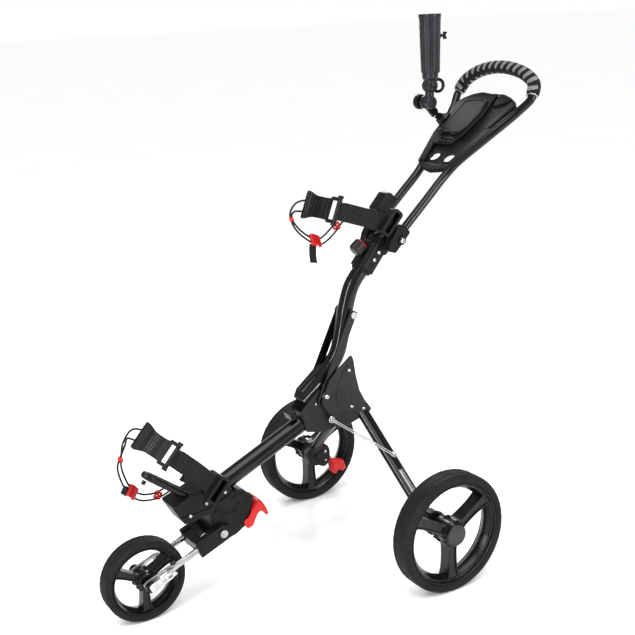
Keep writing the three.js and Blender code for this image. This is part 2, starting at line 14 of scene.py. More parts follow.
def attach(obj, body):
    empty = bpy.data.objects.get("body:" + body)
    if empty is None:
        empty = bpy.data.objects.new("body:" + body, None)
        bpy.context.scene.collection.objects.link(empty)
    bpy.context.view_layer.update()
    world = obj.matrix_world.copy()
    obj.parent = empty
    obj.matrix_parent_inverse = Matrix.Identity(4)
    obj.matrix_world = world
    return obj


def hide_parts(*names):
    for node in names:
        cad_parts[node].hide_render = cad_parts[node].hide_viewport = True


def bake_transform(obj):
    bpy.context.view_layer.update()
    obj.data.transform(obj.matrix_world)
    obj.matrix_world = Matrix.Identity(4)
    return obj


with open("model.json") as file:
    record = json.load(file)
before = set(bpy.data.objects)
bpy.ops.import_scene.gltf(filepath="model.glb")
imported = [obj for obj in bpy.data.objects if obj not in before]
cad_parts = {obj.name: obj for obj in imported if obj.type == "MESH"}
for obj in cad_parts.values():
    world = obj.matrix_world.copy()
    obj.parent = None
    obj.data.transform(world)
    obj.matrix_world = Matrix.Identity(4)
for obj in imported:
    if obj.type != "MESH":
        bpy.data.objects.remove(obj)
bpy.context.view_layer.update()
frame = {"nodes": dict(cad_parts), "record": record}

# ---------- driving dimensions, millimetres from the rear axle ----------

AXLE_Y = 144
REAR_WHEEL = {"radius": 145, "seat": 124, "width": 59, "hub": 30, "hub_width": 62, "spoke": 25}
FRONT_WHEEL = {"radius": 98, "seat": 81, "width": 50, "hub": 22, "hub_width": 50, "spoke": 19}
HALF_TRACK = 310
REAR_AXLE = (0, 145)
FRONT_AXLE = (-640, 98)
SPOKE_ANGLES = (30, 150, 270)
FORK_BOLT = (-451, 170.5)
FORK_X = 38
TUBE_LOW = (-417, 275.6)
TUBE_HIGH = (-204.5, 365.7)
TUBE_RADIUS = 21
MAST_RADIUS = 19.5
MAST_PIVOT = (-149, 434)
LEG_TOP = (33, -43, 368)
LEG_END = (256, -19, 161)
STAY_RING = (43.5, -140, 375)
STAY_CLIP = (149, -34, 291)
HINGE_BOLT = (66, 788)
HANDLE_RADIUS = 10.5
HANDLE_SLOPE = (0.779, 0.627)
ARMS_START = (220, 938)
GRIP_RADIUS = 16
BAG_AXIS = (0.68, 0.73)
BAG_OUT = (-0.73, 0.68)
SLACK_AXIS = (0.37, 0.93)
UMBRELLA = (-104, 291)
CORD_RADIUS = 2.3

LOWER_CORD = [
    (31, -616, 449), (14, -642, 458), (0, -652, 434), (-8, -660, 402), (-14, -664, 378), (-32, -650, 330),
    (-54, -628, 290), (-68, -598, 262), (-72, -564, 254), (-76, -540, 256), (-74, -521, 266),
]
UPPER_CORD = [
    (2, -148, 893), (-16, -178, 890), (-24, -186, 872), (-30, -176, 848), (-36, -144, 815), (-46, -98, 792),
    (-58, -54, 808), (-66, -22, 832), (-70, 2, 846),
]
LOWER_STRAP = [(77, -476, 304), (50, -512, 344), (38, -558, 390), (28, -626, 456)]
UPPER_STRAP = [(77, 24, 835), (50, -46, 860), (32, -94, 877), (-4, -158, 896)]
MAST_ROUTE = [
    (0, -190, 437), (0, -150, 465), (0, -112, 492), (0, -88, 526), (0, -72, 580), (0, -60, 632),
    (0, -40, 684), (0, -4, 726), (0, 22, 757),
]


def to_row(point):
    return Vector((point[0], point[1] + AXLE_Y, point[2])) * 0.001


# ---------- camera ----------

def add_camera():
    yaw, pitch, roll = 1.016, 0.283, -0.045
    back = Vector((math.sin(yaw) * math.cos(pitch), -math.cos(yaw) * math.cos(pitch), math.sin(pitch)))
    right = (-back).cross(Vector((0, 0, 1))).normalized()
    up = right.cross(-back)
    tilted_right = math.cos(roll) * right + math.sin(roll) * up
    tilted_up = -math.sin(roll) * right + math.cos(roll) * up
    data = bpy.data.cameras.new("camera")
    data.lens = 61.125
    data.sensor_width = 36
    data.clip_end = 100
    camera = bpy.data.objects.new("camera", data)
    camera.matrix_world = Matrix.Translation((2.0937, -1.2943, 1.3383)) @ Matrix(
        (tilted_right, tilted_up, back)).transposed().to_4x4()
    bpy.context.scene.collection.objects.link(camera)
    bpy.context.scene.camera = camera


add_camera()

# ---------- node-based materials ----------


class Surface:
    """A Principled material with noise for colour, roughness and relief, in the object's own metres."""

    def __init__(self, name, roughness, metallic=0.0, **sockets):
        self.material = bpy.data.materials.new(name)
        self.material.use_nodes = True
        self.tree = self.material.node_tree
        self.shader = self.tree.nodes["Principled BSDF"]
        self.shader.inputs["Metallic"].default_value = metallic
        self.roughness = roughness
        for socket, value in sockets.items():
            self.shader.inputs[socket.replace("_", " ")].default_value = value
        self.place = self.node("ShaderNodeTexCoord").outputs["Object"]

    def node(self, kind, **settings):
        made = self.tree.nodes.new(kind)
        for name, value in settings.items():
            setattr(made, name, value)
        return made

    def link(self, source, target):
        self.tree.links.new(source, target)

    def noise(self, scale, detail=2.0, stretch=None):
        made = self.node("ShaderNodeTexNoise")
        made.inputs["Scale"].default_value = scale
        made.inputs["Detail"].default_value = detail
        place = self.place
        if stretch:
            mapping = self.node("ShaderNodeMapping")
            mapping.inputs["Scale"].default_value = stretch
            self.link(place, mapping.inputs["Vector"])
            place = mapping.outputs["Vector"]
        self.link(place, made.inputs["Vector"])
        return made.outputs["Fac"]

    def wave(self, scale, direction, distortion=0.0):
        made = self.node("ShaderNodeTexWave", bands_direction=direction)
        made.inputs["Scale"].default_value = scale
        made.inputs["Distortion"].default_value = distortion
        self.link(self.place, made.inputs["Vector"])
        return made.outputs["Fac"]

    def cells(self, scale):
        made = self.node("ShaderNodeTexVoronoi")
        made.inputs["Scale"].default_value = scale
        self.link(self.place, made.inputs["Vector"])
        return made.outputs["Distance"]

    def combine(self, first, second, operation="ADD"):
        made = self.node("ShaderNodeMath", operation=operation)
        self.link(first, made.inputs[0])
        self.link(second, made.inputs[1])
        return made.outputs["Value"]

    def colours(self, value, dark, light, low=0.35, high=0.65):
        ramp = self.node("ShaderNodeValToRGB")
        ramp.color_ramp.elements[0].position = low
        ramp.color_ramp.elements[1].position = high
        ramp.color_ramp.elements[0].color = (*dark, 1)
        ramp.color_ramp.elements[1].color = (*light, 1)
        self.link(value, ramp.inputs["Fac"])
        self.link(ramp.outputs["Color"], self.shader.inputs["Base Color"])
        return self

    def uneven(self, value, spread=0.06):
        mapped = self.node("ShaderNodeMapRange")
        mapped.inputs["From Min"].default_value = 0.3
        mapped.inputs["From Max"].default_value = 0.7
        mapped.inputs["To Min"].default_value = self.roughness - spread
        mapped.inputs["To Max"].default_value = self.roughness + spread
        self.link(value, mapped.inputs["Value"])
        self.link(mapped.outputs["Result"], self.shader.inputs["Roughness"])
        return self

    def relief(self, value, depth, strength=1.0):
        bump = self.node("ShaderNodeBump")
        bump.inputs["Distance"].default_value = depth
        bump.inputs["Strength"].default_value = strength
        self.link(value, bump.inputs["Height"])
        self.link(bump.outputs["Normal"], self.shader.inputs["Normal"])
        return self


def gloss_black():
    made = Surface("gloss_black_paint", 0.15, Specular_IOR_Level=0.3)
    made.colours(made.noise(5, 4), (0.0025, 0.0025, 0.003), (0.005, 0.005, 0.006))
    made.uneven(made.noise(35, 5), 0.05)
    return made.relief(made.noise(420, 1), 0.00006, 0.5).material


def moulded(name, dark, light, roughness, grain=1500, depth=0.00012, **sockets):
    made = Surface(name, roughness, **sockets)
    made.colours(made.noise(22, 5), dark, light)
    made.uneven(made.noise(60, 4), 0.05)
    return made.relief(made.noise(grain, 2), depth, 0.6).material


def brushed(name, dark, light, roughness, stretch=(1, 1, 1)):
    made = Surface(name, roughness, 1.0)
    made.colours(made.noise(40, 5, stretch), dark, light)
    made.uneven(made.noise(160, 4, stretch), 0.07)
    return made.relief(made.noise(900, 2, stretch), 0.00004, 0.5).material


def eva_rubber():
    made = Surface("tyre_eva", 0.7, Specular_IOR_Level=0.14)
    made.colours(made.noise(14, 6), (0.006, 0.0053, 0.0048), (0.013, 0.0115, 0.0103), 0.3, 0.7)
    made.uneven(made.noise(45, 5), 0.09)
    pores = made.combine(made.cells(900), made.noise(420, 3))
    return made.relief(pores, 0.00025, 0.55).material


def woven():
    made = Surface("webbing_weave", 0.75, Sheen_Weight=0.06, Sheen_Roughness=0.5, Specular_IOR_Level=0.15)
    made.colours(made.noise(160, 5), (0.004, 0.004, 0.0043), (0.011, 0.0108, 0.011))
    made.uneven(made.noise(300, 3), 0.08)
    weave = made.combine(made.wave(210, "X"), made.wave(190, "Z"), "MULTIPLY")
    return made.relief(weave, 0.0005, 0.8).material


def braided():
    made = Surface("elastic_cord_braid", 0.65, Sheen_Weight=0.05, Sheen_Roughness=0.5,
                   Specular_IOR_Level=0.15)
    made.colours(made.noise(700, 3), (0.004, 0.004, 0.0045), (0.014, 0.014, 0.0145))
    made.uneven(made.noise(300, 3), 0.08)
    twill = made.combine(made.wave(330, "DIAGONAL"), made.wave(260, "Z"), "MULTIPLY")
    return made.relief(twill, 0.0005, 0.9).material


def foam(name, dark, light):
    made = Surface(name, 0.86, Sheen_Weight=0.05, Specular_IOR_Level=0.12)
    made.colours(made.noise(240, 6), dark, light, 0.3, 0.7)
    made.uneven(made.noise(90, 4), 0.06)
    pores = made.combine(made.cells(1400), made.noise(700, 3))
    return made.relief(pores, 0.0003, 0.6).material


MATERIALS = {
    "paint": gloss_black(),
    "plastic": moulded("black_plastic", (0.0028, 0.0027, 0.0028), (0.0055, 0.0053, 0.0055), 0.4,
                       Specular_IOR_Level=0.16),
    "satin": moulded("satin_black_plastic", (0.003, 0.003, 0.0032), (0.006, 0.006, 0.0065), 0.28,
                     grain=900, depth=0.00006, Specular_IOR_Level=0.24),
    "cover": moulded("cover_plastic", (0.009, 0.008, 0.0095), (0.016, 0.0145, 0.0165), 0.42,
                     Specular_IOR_Level=0.22),
    "charcoal": moulded("charcoal_plastic", (0.011, 0.0095, 0.012), (0.019, 0.0165, 0.0205), 0.34,
                        Specular_IOR_Level=0.25),
    "cap": moulded("hub_cap_plastic", (0.016, 0.016, 0.017), (0.034, 0.034, 0.036), 0.55,
                   grain=1100, depth=0.0003, Specular_IOR_Level=0.25),
    "rim": moulded("rim_plastic", (0.0025, 0.0025, 0.0027), (0.005, 0.005, 0.0055), 0.26,
                   grain=700, depth=0.00005, Specular_IOR_Level=0.26),
    "red": moulded("red_plastic", (0.4, 0.006, 0.006), (0.5, 0.01, 0.009), 0.32,
                   grain=900, depth=0.00006, Specular_IOR_Level=0.3),
    "silver": brushed("anodised_silver", (0.3, 0.305, 0.31), (0.48, 0.485, 0.49), 0.3),
    "steel": brushed("plated_steel", (0.42, 0.42, 0.425), (0.62, 0.62, 0.625), 0.22),
    "tyre": eva_rubber(),
    "webbing": woven(),
    "cord": braided(),
    "foam": foam("grip_foam", (0.004, 0.004, 0.0042), (0.01, 0.01, 0.0105)),
    "stripe": foam("grip_stripe", (0.13, 0.13, 0.13), (0.21, 0.21, 0.21)),
}

# ---------- shells: lists of points (millimetres) and faces ----------


def smooth_route(points, steps):
    """Centripetal Catmull-Rom curve through the points, as in the CAD source."""
    route = [Vector(p) for p in points]
    route = [2 * route[0] - route[1]] + route + [2 * route[-1] - route[-2]]
    found = []
    for i in range(1, len(route) - 2):
        p0, p1, p2, p3 = route[i - 1:i + 3]
        t1 = max((p1 - p0).length, 1e-6) ** 0.5
        t2 = t1 + max((p2 - p1).length, 1e-6) ** 0.5
        t3 = t2 + max((p3 - p2).length, 1e-6) ** 0.5
        for k in range(steps):
            t = t1 + (t2 - t1) * k / steps
            a1 = p0 * ((t1 - t) / t1) + p1 * (t / t1)
            a2 = p1 * ((t2 - t) / (t2 - t1)) + p2 * ((t - t1) / (t2 - t1))
            a3 = p2 * ((t3 - t) / (t3 - t2)) + p3 * ((t - t2) / (t3 - t2))
            b1 = a1 * ((t2 - t) / t2) + a2 * (t / t2)
            b2 = a2 * ((t3 - t) / (t3 - t1)) + a3 * ((t - t1) / (t3 - t1))
            found.append(b1 * ((t2 - t) / (t2 - t1)) + b2 * ((t - t1) / (t2 - t1)))
    return found + [route[-2]]


def skin(rings, loop=False, caps=True):
    """Faces over rings of equally many points; caps close the first and last ring."""
    count = len(rings[0])
    points = [Vector(p) for ring in rings for p in ring]
    spans = len(rings) if loop else len(rings) - 1
    faces = []
    for i in range(spans):
        here, following = i * count, ((i + 1) % len(rings)) * count
        for j in range(count):
            k = (j + 1) % count
            faces.append((here + j, here + k, following + k, following + j))
    if caps and not loop:
        faces.append(tuple(reversed(range(count))))
        faces.append(tuple(range((len(rings) - 1) * count, len(rings) * count)))
    return points, faces


def circle(radius, sides, squeeze=1.0):
    turns = [2 * math.pi * i / sides for i in range(sides)]
    return [(radius * math.cos(turn), squeeze * radius * math.sin(turn)) for turn in turns]


def rounded(outline, radius, steps=4):
    """A polygon with its corners turned into arcs."""
    found = []
    count = len(outline)
    for i, corner in enumerate(outline):
        here = Vector(corner)
        before, after = Vector(outline[i - 1]), Vector(outline[(i + 1) % count])
        to_before, to_after = (before - here), (after - here)
        reach = min(to_before.length, to_after.length) * 0.48
        half = to_before.angle(to_after) / 2
        if half > math.radians(86):
            found.append(tuple(here))
            continue
        cut = min(radius / math.tan(half), reach)
        start, end = here + to_before.normalized() * cut, here + to_after.normalized() * cut
        for k in range(steps + 1):
            t = k / steps
            weight = 2 * t * (1 - t)
            found.append(tuple(start * (1 - t) ** 2 + here * weight + end * t ** 2))
    return found


def inset(outline, distance):
    """The outline moved inward by a distance, for outlines that run counter-clockwise."""
    count = len(outline)
    found = []
    for i in range(count):
        before, here, after = (Vector(outline[(i + k) % count]) for k in (-1, 0, 1))
        a = (here - before).normalized()
        b = (after - here).normalized()
        normal = Vector((-a.y - b.y, a.x + b.x))
        if normal.length < 1e-6:
            normal = Vector((-a.y, a.x))
        normal.normalize()
        stretch = max(0.5, normal.dot(Vector((-a.y, a.x))))
        found.append(tuple(here + normal * distance / stretch))
    return found


def counter_clockwise(outline):
    area = sum(a[0] * b[1] - b[0] * a[1] for a, b in zip(outline[-1:] + outline[:-1], outline))
    return list(outline) if area > 0 else list(reversed(outline))


def slab(outline, origin, u, v, low, high, bevel=1.0, fillet=2.5, steps=3):
    """An outline in the plane of u and v, thickened from low to high across it, with rounded edges."""
    origin, u, v = Vector(origin), Vector(u).normalized(), Vector(v).normalized()
    w = u.cross(v)
    flat = rounded(counter_clockwise(outline), fillet) if fillet else counter_clockwise(outline)
    bevel = min(bevel, abs(high - low) * 0.45)
    rings = []
    turns = [math.pi / 2 * k / steps for k in range(steps + 1)]
    levels = [(bevel * (1 - math.sin(t)), low + bevel * (1 - math.cos(t))) for t in turns]
    levels += [(bevel * (1 - math.sin(t)), high - bevel * (1 - math.cos(t))) for t in reversed(turns)]
    for inward, level in levels:
        rings.append([origin + u * a + v * b + w * level for a, b in inset(flat, inward)])
    return skin(rings)


def side_slab(outline, x0, x1, bevel=1.0, fillet=2.5):
    """A side-view outline of (y, z), thickened from x0 to x1."""
    return slab(outline, (0, 0, 0), (0, 1, 0), (0, 0, 1), x0, x1, bevel, fillet)


def block(p, q, width, height, side=(1, 0, 0), bevel=1.0, fillet=2.0):
    """A bar with a rectangular section from p to q."""
    p, q = Vector(p), Vector(q)
    z = (q - p).normalized()
    y = z.cross(Vector(side)).normalized()
    x = y.cross(z)
    w, h = width / 2, height / 2
    outline = [(-w, -h), (w, -h), (w, h), (-w, h)]
    return slab(outline, p, x, y, 0, (q - p).length, bevel, fillet)


def frames(route, side, closed=False):
    """Along, side and up directions at each route point, turning as little as possible."""
    found = []
    count = len(route)
    lateral = Vector(side)
    for i in range(count):
        if closed:
            along = (route[(i + 1) % count] - route[i - 1]).normalized()
        else:
            along = (route[min(i + 1, count - 1)] - route[max(i - 1, 0)]).normalized()
        lateral = (lateral - along * lateral.dot(along)).normalized()
        found.append((along, lateral, along.cross(lateral)))
    return found


def sweep(route, section, side=(1, 0, 0), closed=False, scale=None, caps=True):
    """A section of (side, up) points carried along a route."""
    route = [Vector(p) for p in route]
    rings = []
    for i, (_, lateral, up) in enumerate(frames(route, side, closed)):
        size = scale(i / (len(route) - 1)) if scale else 1.0
        rings.append([route[i] + (lateral * a + up * b) * size for a, b in section])
    return skin(rings, closed, caps)


def fixed_sweep(route, section, side, closed=False):
    """A sweep whose side direction never turns."""
    route = [Vector(p) for p in route]
    side = Vector(side).normalized()
    count = len(route)
    rings = []
    for i, point in enumerate(route):
        after = route[(i + 1) % count] if closed else route[min(i + 1, count - 1)]
        before = route[i - 1] if closed else route[max(i - 1, 0)]
        up = (after - before).normalized().cross(side).normalized()
        rings.append([point + side * a + up * b for a, b in section])
    return skin(rings, closed)


def lathe(profile, origin, axis, segments=48, loop=False):
    """A profile of (radius, along) points turned round an axis; loop closes the profile on itself."""
    origin, axis = Vector(origin), Vector(axis).normalized()
    u = axis.orthogonal().normalized()
    v = axis.cross(u)
    rings = []
    for i in range(segments):
        angle = 2 * math.pi * i / segments
        outward = u * math.cos(angle) + v * math.sin(angle)
        rings.append([origin + axis * along + outward * radius for radius, along in profile])
    count = len(profile)
    points = [p for ring in rings for p in ring]
    faces = []
    for i in range(segments):
        here, following = i * count, ((i + 1) % segments) * count
        for j in range(count if loop else count - 1):
            k = (j + 1) % count
            faces.append((here + j, here + k, following + k, following + j))
    return points, faces


def rod(p, q, radius, end_radius=None, bevel=0.8, segments=32):
    """A round rod from p to q with softened ends."""
    p, q = Vector(p), Vector(q)
    end_radius = radius if end_radius is None else end_radius
    length = (q - p).length
    profile = [(0, 0), (radius - bevel, 0), (radius - 0.3 * bevel, 0.3 * bevel), (radius, bevel),
               (end_radius, length - bevel), (end_radius - 0.3 * bevel, length - 0.3 * bevel),
               (end_radius - bevel, length), (0, length)]
    return lathe(profile, p, q - p, segments)


def screw(at, outward, radius=4.5, height=2.6):
    """A pan-head screw with a socket."""
    profile = [(0, height * 0.35), (radius * 0.42, height * 0.35), (radius * 0.46, height * 0.92),
               (radius * 0.56, height), (radius * 0.8, height * 0.9), (radius * 0.95, height * 0.6),
               (radius, height * 0.2), (radius, -0.8), (0, -0.8)]
    return lathe(profile, at, outward, 24)


def flipped(shell):
    """The shell mirrored to the other side of the trolley."""
    points, faces = shell
    return [Vector((-p.x, p.y, p.z)) for p in points], [tuple(reversed(face)) for face in faces]


def both(shell):
    return [shell, flipped(shell)]


# ---------- pieces ----------


def mesh_object(name, material, shells, angle=35):
    """One mesh object from closed shells."""
    mesh = bpy.data.meshes.new(name)
    joined = bmesh.new()
    for points, faces in shells:
        corners = [joined.verts.new(to_row(p)) for p in points]
        for face in faces:
            chosen = [corners[i] for i in face]
            if len(set(chosen)) > 2:
                joined.faces.new(chosen)
    bmesh.ops.remove_doubles(joined, verts=joined.verts, dist=2e-6)
    bmesh.ops.recalc_face_normals(joined, faces=joined.faces)
    joined.to_mesh(mesh)
    joined.free()
    mesh.polygons.foreach_set("use_smooth", [True] * len(mesh.polygons))
    mesh.set_sharp_from_angle(angle=math.radians(angle))
    mesh.materials.append(MATERIALS[material])
    made = bpy.data.objects.new(name, mesh)
    bpy.context.scene.collection.objects.link(made)
    return made


def piece(name, body, material, shells, replaces=(), angle=35, weighted=True, holes=()):
    """Closed shells with holes cut through them, riding on a CAD body."""
    made = mesh_object(name, material, shells, angle)
    if holes:
        cutter = mesh_object(f"{name}_cutter", material, holes, angle)
        cutting = made.modifiers.new("holes", "BOOLEAN")
        cutting.object = cutter
        cutting.solver = "EXACT"
        cutting.use_self = True
        evaluated = made.evaluated_get(bpy.context.evaluated_depsgraph_get())
        cut_mesh = bpy.data.meshes.new_from_object(evaluated)
        made.modifiers.clear()
        made.data = cut_mesh
        bpy.data.objects.remove(cutter)
    if weighted:
        normals = made.modifiers.new("flat faces stay flat", "WEIGHTED_NORMAL")
        normals.keep_sharp = True
    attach(made, body)
    if replaces:
        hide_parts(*replaces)
    return made


def soft_piece(name, material, shells, replaces=()):
    made = mesh_object(name, material, shells)
    if replaces:
        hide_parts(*replaces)
    return made


NODE_BODY = {node: body for body, nodes in frame["record"]["behaviour"]["bodies"].items() for node in nodes}


def refined(node, material, width=1.2, segments=2):
    """The CAD node's own shape with its edges rounded."""
    mesh = frame["nodes"][node].data.copy()
    mesh.materials.clear()
    mesh.materials.append(MATERIALS[material])
    shape = bmesh.new()
    shape.from_mesh(mesh)
    bmesh.ops.remove_doubles(shape, verts=shape.verts, dist=1e-5)
    bmesh.ops.dissolve_limit(shape, angle_limit=math.radians(1.5), verts=shape.verts, edges=shape.edges)
    bmesh.ops.recalc_face_normals(shape, faces=shape.faces)
    shape.to_mesh(mesh)
    shape.free()
    mesh.polygons.foreach_set("use_smooth", [True] * len(mesh.polygons))
    mesh.set_sharp_from_angle(angle=math.radians(40))
    made = bpy.data.objects.new(f"{node}_finished", mesh)
    bpy.context.scene.collection.objects.link(made)
    bevel = made.modifiers.new("rounded edges", "BEVEL")
    bevel.width = width * 0.001
    bevel.segments = segments
    bevel.limit_method = "ANGLE"
    bevel.angle_limit = math.radians(28)
    bevel.harden_normals = True
    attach(made, NODE_BODY[node])
    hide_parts(node)
    return made


# ---------- elastic cords: two strands that cross below the lever and run side by side ----------

SPREAD_AT_LEVER = 14
SPREAD_AFTER = -7
CROSSED_BY = 0.42


def smoothed(t):
    t = min(max(t, 0.0), 1.0)
    return t * t * (3 - 2 * t)


def strand(route, width_axis, sign):
    """One strand's centreline: the two start apart across the lever, cross, and run on side by side."""
    line = smooth_route(route, 6)
    across = Vector((0, *width_axis))
    found = []
    for i, (_, lateral, up) in enumerate(frames(line, (1, 0, 0))):
        t = i / (len(line) - 1)
        turn = smoothed(t / CROSSED_BY)
        direction = (across * (1 - turn) + lateral * turn).normalized()
        spread = SPREAD_AT_LEVER + (SPREAD_AFTER - SPREAD_AT_LEVER) * turn
        hump = 2.7 * math.exp(-((t - 0.2) / 0.08) ** 2)
        found.append(line[i] + direction * sign * spread + up * sign * hump)
    return found


def on_strand(line, near):
    """The strand's nearest point and its direction there."""
    i = min(range(1, len(line) - 1), key=lambda k: (line[k] - Vector(near)).length)
    return line[i], (line[i + 1] - line[i - 1]).normalized()


def sleeve(at, along, reach=4.5):
    profile = [(2.45, -reach), (4.2, -reach), (4.9, -reach + 1), (4.9, reach - 1), (4.2, reach),
               (2.45, reach)]
    return lathe(profile, at, along, 20, loop=True)


def slider_shells(strands, near):
    """Two short sleeves joined by a slanting bar."""
    (p, a), (q, b) = (on_strand(line, near) for line in strands)
    p, q = p + a * 4, q - b * 4
    inward = (q - p).normalized() * 3.4
    return [sleeve(p, a), sleeve(q, b), rod(p + inward, q - inward, 2.6)]


def guide_shells(strands, near):
    """Two ring ends joined by crossed bars."""
    (p, a), (q, b) = (on_strand(line, near) for line in strands)
    across = (q - p).normalized()
    shells = [sleeve(p, a, 3.6), sleeve(q, b, 3.6)]
    for end in (-1, 1):
        start, finish = p + a * 3 * end + across * 3.2, q - b * 3 * end - across * 3.2
        shells.append(rod(start, finish, 2.1))
        shells.append(rod(p + a * 2.5 * end + across * 3.2, p + a * 12 * end + across * 6, 2.3))
        shells.append(rod(q + b * 2.5 * end - across * 3.2, q + b * 12 * end - across * 6, 2.3))
    return shells


def hook_shells(strands, near):
    """Ribbed catch round both strands, with a rolled top and a flat side."""
    (p, a), (q, b) = (on_strand(line, near) for line in strands)
    middle, along, across = (p + q) / 2, (a + b).normalized(), (q - p).normalized()
    out = along.cross(across).normalized()
    shells = [sleeve(p, a, 7), sleeve(q, b, 7)]
    shells.append(block(middle - along * 15 - out * 6, middle + along * 15 - out * 6, 27, 5, across,
                        1.6, 5))
    for shift in (-13, 13):
        roll = middle + along * shift
        shells.append(rod(roll - across * 14 - out * 4, roll + across * 14 - out * 4, 4.4, bevel=1.6))
    wall = middle - across * 13 - out * 2
    shells.append(block(wall - along * 13, wall + along * 13, 4, 14, across, 1.4, 1.8))
    return shells, (middle, along, across, out)


def hook_tab(hook_place, length):
    """Black tab on the catch: a short block, or a strip of webbing that hangs from it."""
    middle, along, across, out = hook_place
    if length < 20:
        start = middle - along * 10 + across * 4
        return block(start + out * 1.5, start + out * length, 20, 17, across, 1.2, 2.4)
    top = middle + out * 5 - Vector((0, 0, 4))
    route = smooth_route([top, top - Vector((0, 2, 0.5 * length)), top - Vector((0, 0, length))], 8)
    return sweep(route, [(-9, -1.3), (9, -1.3), (9.4, 0), (9, 1.3), (-9, 1.3), (-9.4, 0)], (1, 0.6, 0))


def add_cord(label, route, width_axis, clips, tab_length):
    """Both strands and their clips; they run between the cradle and the lever."""
    strands = [strand(route, width_axis, sign) for sign in (1, -1)]
    made = []
    for i, line in enumerate(strands):
        tube = sweep(line, circle(CORD_RADIUS, 14))
        cord = soft_piece(f"{label}_elastic_cord_{i + 1}", "cord", [tube],
                          [f"{label}_cord"] if i == 0 else [])
        made.append(cord)
    slider, hook, guide = clips
    hook_parts, hook_place = hook_shells(strands, hook)
    made.append(soft_piece(f"{label}_slider", "red", slider_shells(strands, slider),
                           [f"{label}_cord_slider"]))
    made.append(soft_piece(f"{label}_hook", "red", hook_parts, [f"{label}_cord_hook"]))
    made.append(soft_piece(f"{label}_guide", "red", guide_shells(strands, guide),
                           [f"{label}_cord_guide"]))
    tab = hook_tab(hook_place, tab_length)
    made.append(soft_piece(f"{label}_hook_tab", "plastic", [tab]))
    for thing in made:
        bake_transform(thing)


def add_cords():
    add_cord("lower", LOWER_CORD, BAG_AXIS,
             [(-12, -662, 392), (-52, -628, 290), (-72, -556, 254)], 13)
    add_cord("upper", UPPER_CORD, SLACK_AXIS,
             [(-28, -181, 860), (-42, -112, 798), (-62, -38, 820)], 46)


add_cords()

# ---------- wheels ----------

TREAD_STEPS = 360
TREAD_BLOCKS = 40
TREAD_DEPTH = 1.1


def tyre_profile(wheel):
    """Section of a tyre as (radius, x, share of tread), with rounded shoulders and a stepped bead."""
    half = wheel["width"] / 2
    seat, radius = wheel["seat"], wheel["radius"]
    wall = radius - seat
    corner = wall * 0.6
    points = [(seat, -half + 7, 0), (seat + 0.03 * wall, -half + 4.4, 0),
              (seat + 0.1 * wall, -half + 2.4, 0),
              (seat + 0.2 * wall, -half + 1.4, 0), (seat + 0.32 * wall, -half + 0.5, 0)]
    for k in range(9):
        turn = math.pi / 2 * k / 8
        points.append((radius - corner + corner * math.sin(turn), -half + corner * (1 - math.cos(turn)),
                       max(0.0, (k - 3) / 5)))
    inner = half - corner
    for k in range(1, 14):
        x = -inner + 2 * inner * k / 14
        points.append((radius + 0.5 * (1 - (x / inner) ** 2) - 0.5, x, 1))
    for r, x, share in reversed(points[:14]):
        points.append((r, -x, share))
    return points


def groove(theta, x, half):
    """0 on a tread block and 1 in the middle of a groove: slanted, curved rows that meet in a zigzag."""
    lean = abs(x) / half
    phase = theta * TREAD_BLOCKS / (2 * math.pi) + 0.9 * lean ** 1.4 + (0.5 if x > 0 else 0.0)
    across = abs((phase % 1.0) - 0.5) * 2
    slanted = max(0.0, 1 - across / 0.22)
    lengthwise = max(0.0, 1 - abs(lean - 0.3) / 0.06)
    return min(1.0, max(slanted if lean > 0.3 else 0.0, lengthwise) * 1.6)


def wheel_point(centre, radius, theta):
    return centre[0] + radius * math.cos(theta), centre[1] + radius * math.sin(theta)


def tyre_shell(wheel, centre_x, centre):
    profile = tyre_profile(wheel)
    half = wheel["width"] / 2
    rings = []
    for i in range(TREAD_STEPS):
        theta = 2 * math.pi * i / TREAD_STEPS
        ring = []
        for radius, x, share in profile:
            r = radius - TREAD_DEPTH * share * groove(theta, x, half)
            ring.append(Vector((centre_x + x, *wheel_point(centre, r, theta))))
        rings.append(ring)
    return skin(rings, loop=True)


def spoke_shell(wheel, centre_x, centre, degrees):
    """A spoke with raised borders and a sunken middle, flaring into the barrel and the hub."""
    theta = math.radians(degrees)
    outward = Vector((0, math.cos(theta), math.sin(theta)))
    across = Vector((0, -math.sin(theta), math.cos(theta)))
    start, end = wheel["hub"] - 5, wheel["seat"] - 4
    half_spoke = wheel["spoke"] / 2
    half_depth = wheel["hub_width"] * 0.27
    rings = []
    for k in range(17):
        t = k / 16
        flare = 0.55 * math.exp(-t / 0.07) + 0.9 * math.exp(-(1 - t) / 0.08)
        w = half_spoke * (0.8 + 0.32 * t + 0.55 * flare)
        d = half_depth * (1.12 - 0.18 * math.sin(math.pi * t) + 0.1 * flare)
        lip = min(3.2, w * 0.3)
        sunk = 3.4
        section = [(w, -d + 1.2), (w - 0.6, -d), (w - lip, -d), (w - lip - 1.2, -d + sunk),
                   (-w + lip + 1.2, -d + sunk), (-w + lip, -d), (-w + 0.6, -d), (-w, -d + 1.2),
                   (-w, d - 1.2), (-w + 0.6, d), (-w + lip, d), (-w + lip + 1.2, d - sunk),
                   (w - lip - 1.2, d - sunk), (w - lip, d), (w - 0.6, d), (w, d - 1.2)]
        middle = Vector((centre_x, *centre)) + outward * (start + (end - start) * t)
        rings.append([middle + across * a + Vector((b, 0, 0)) for a, b in section])
    return skin(rings)


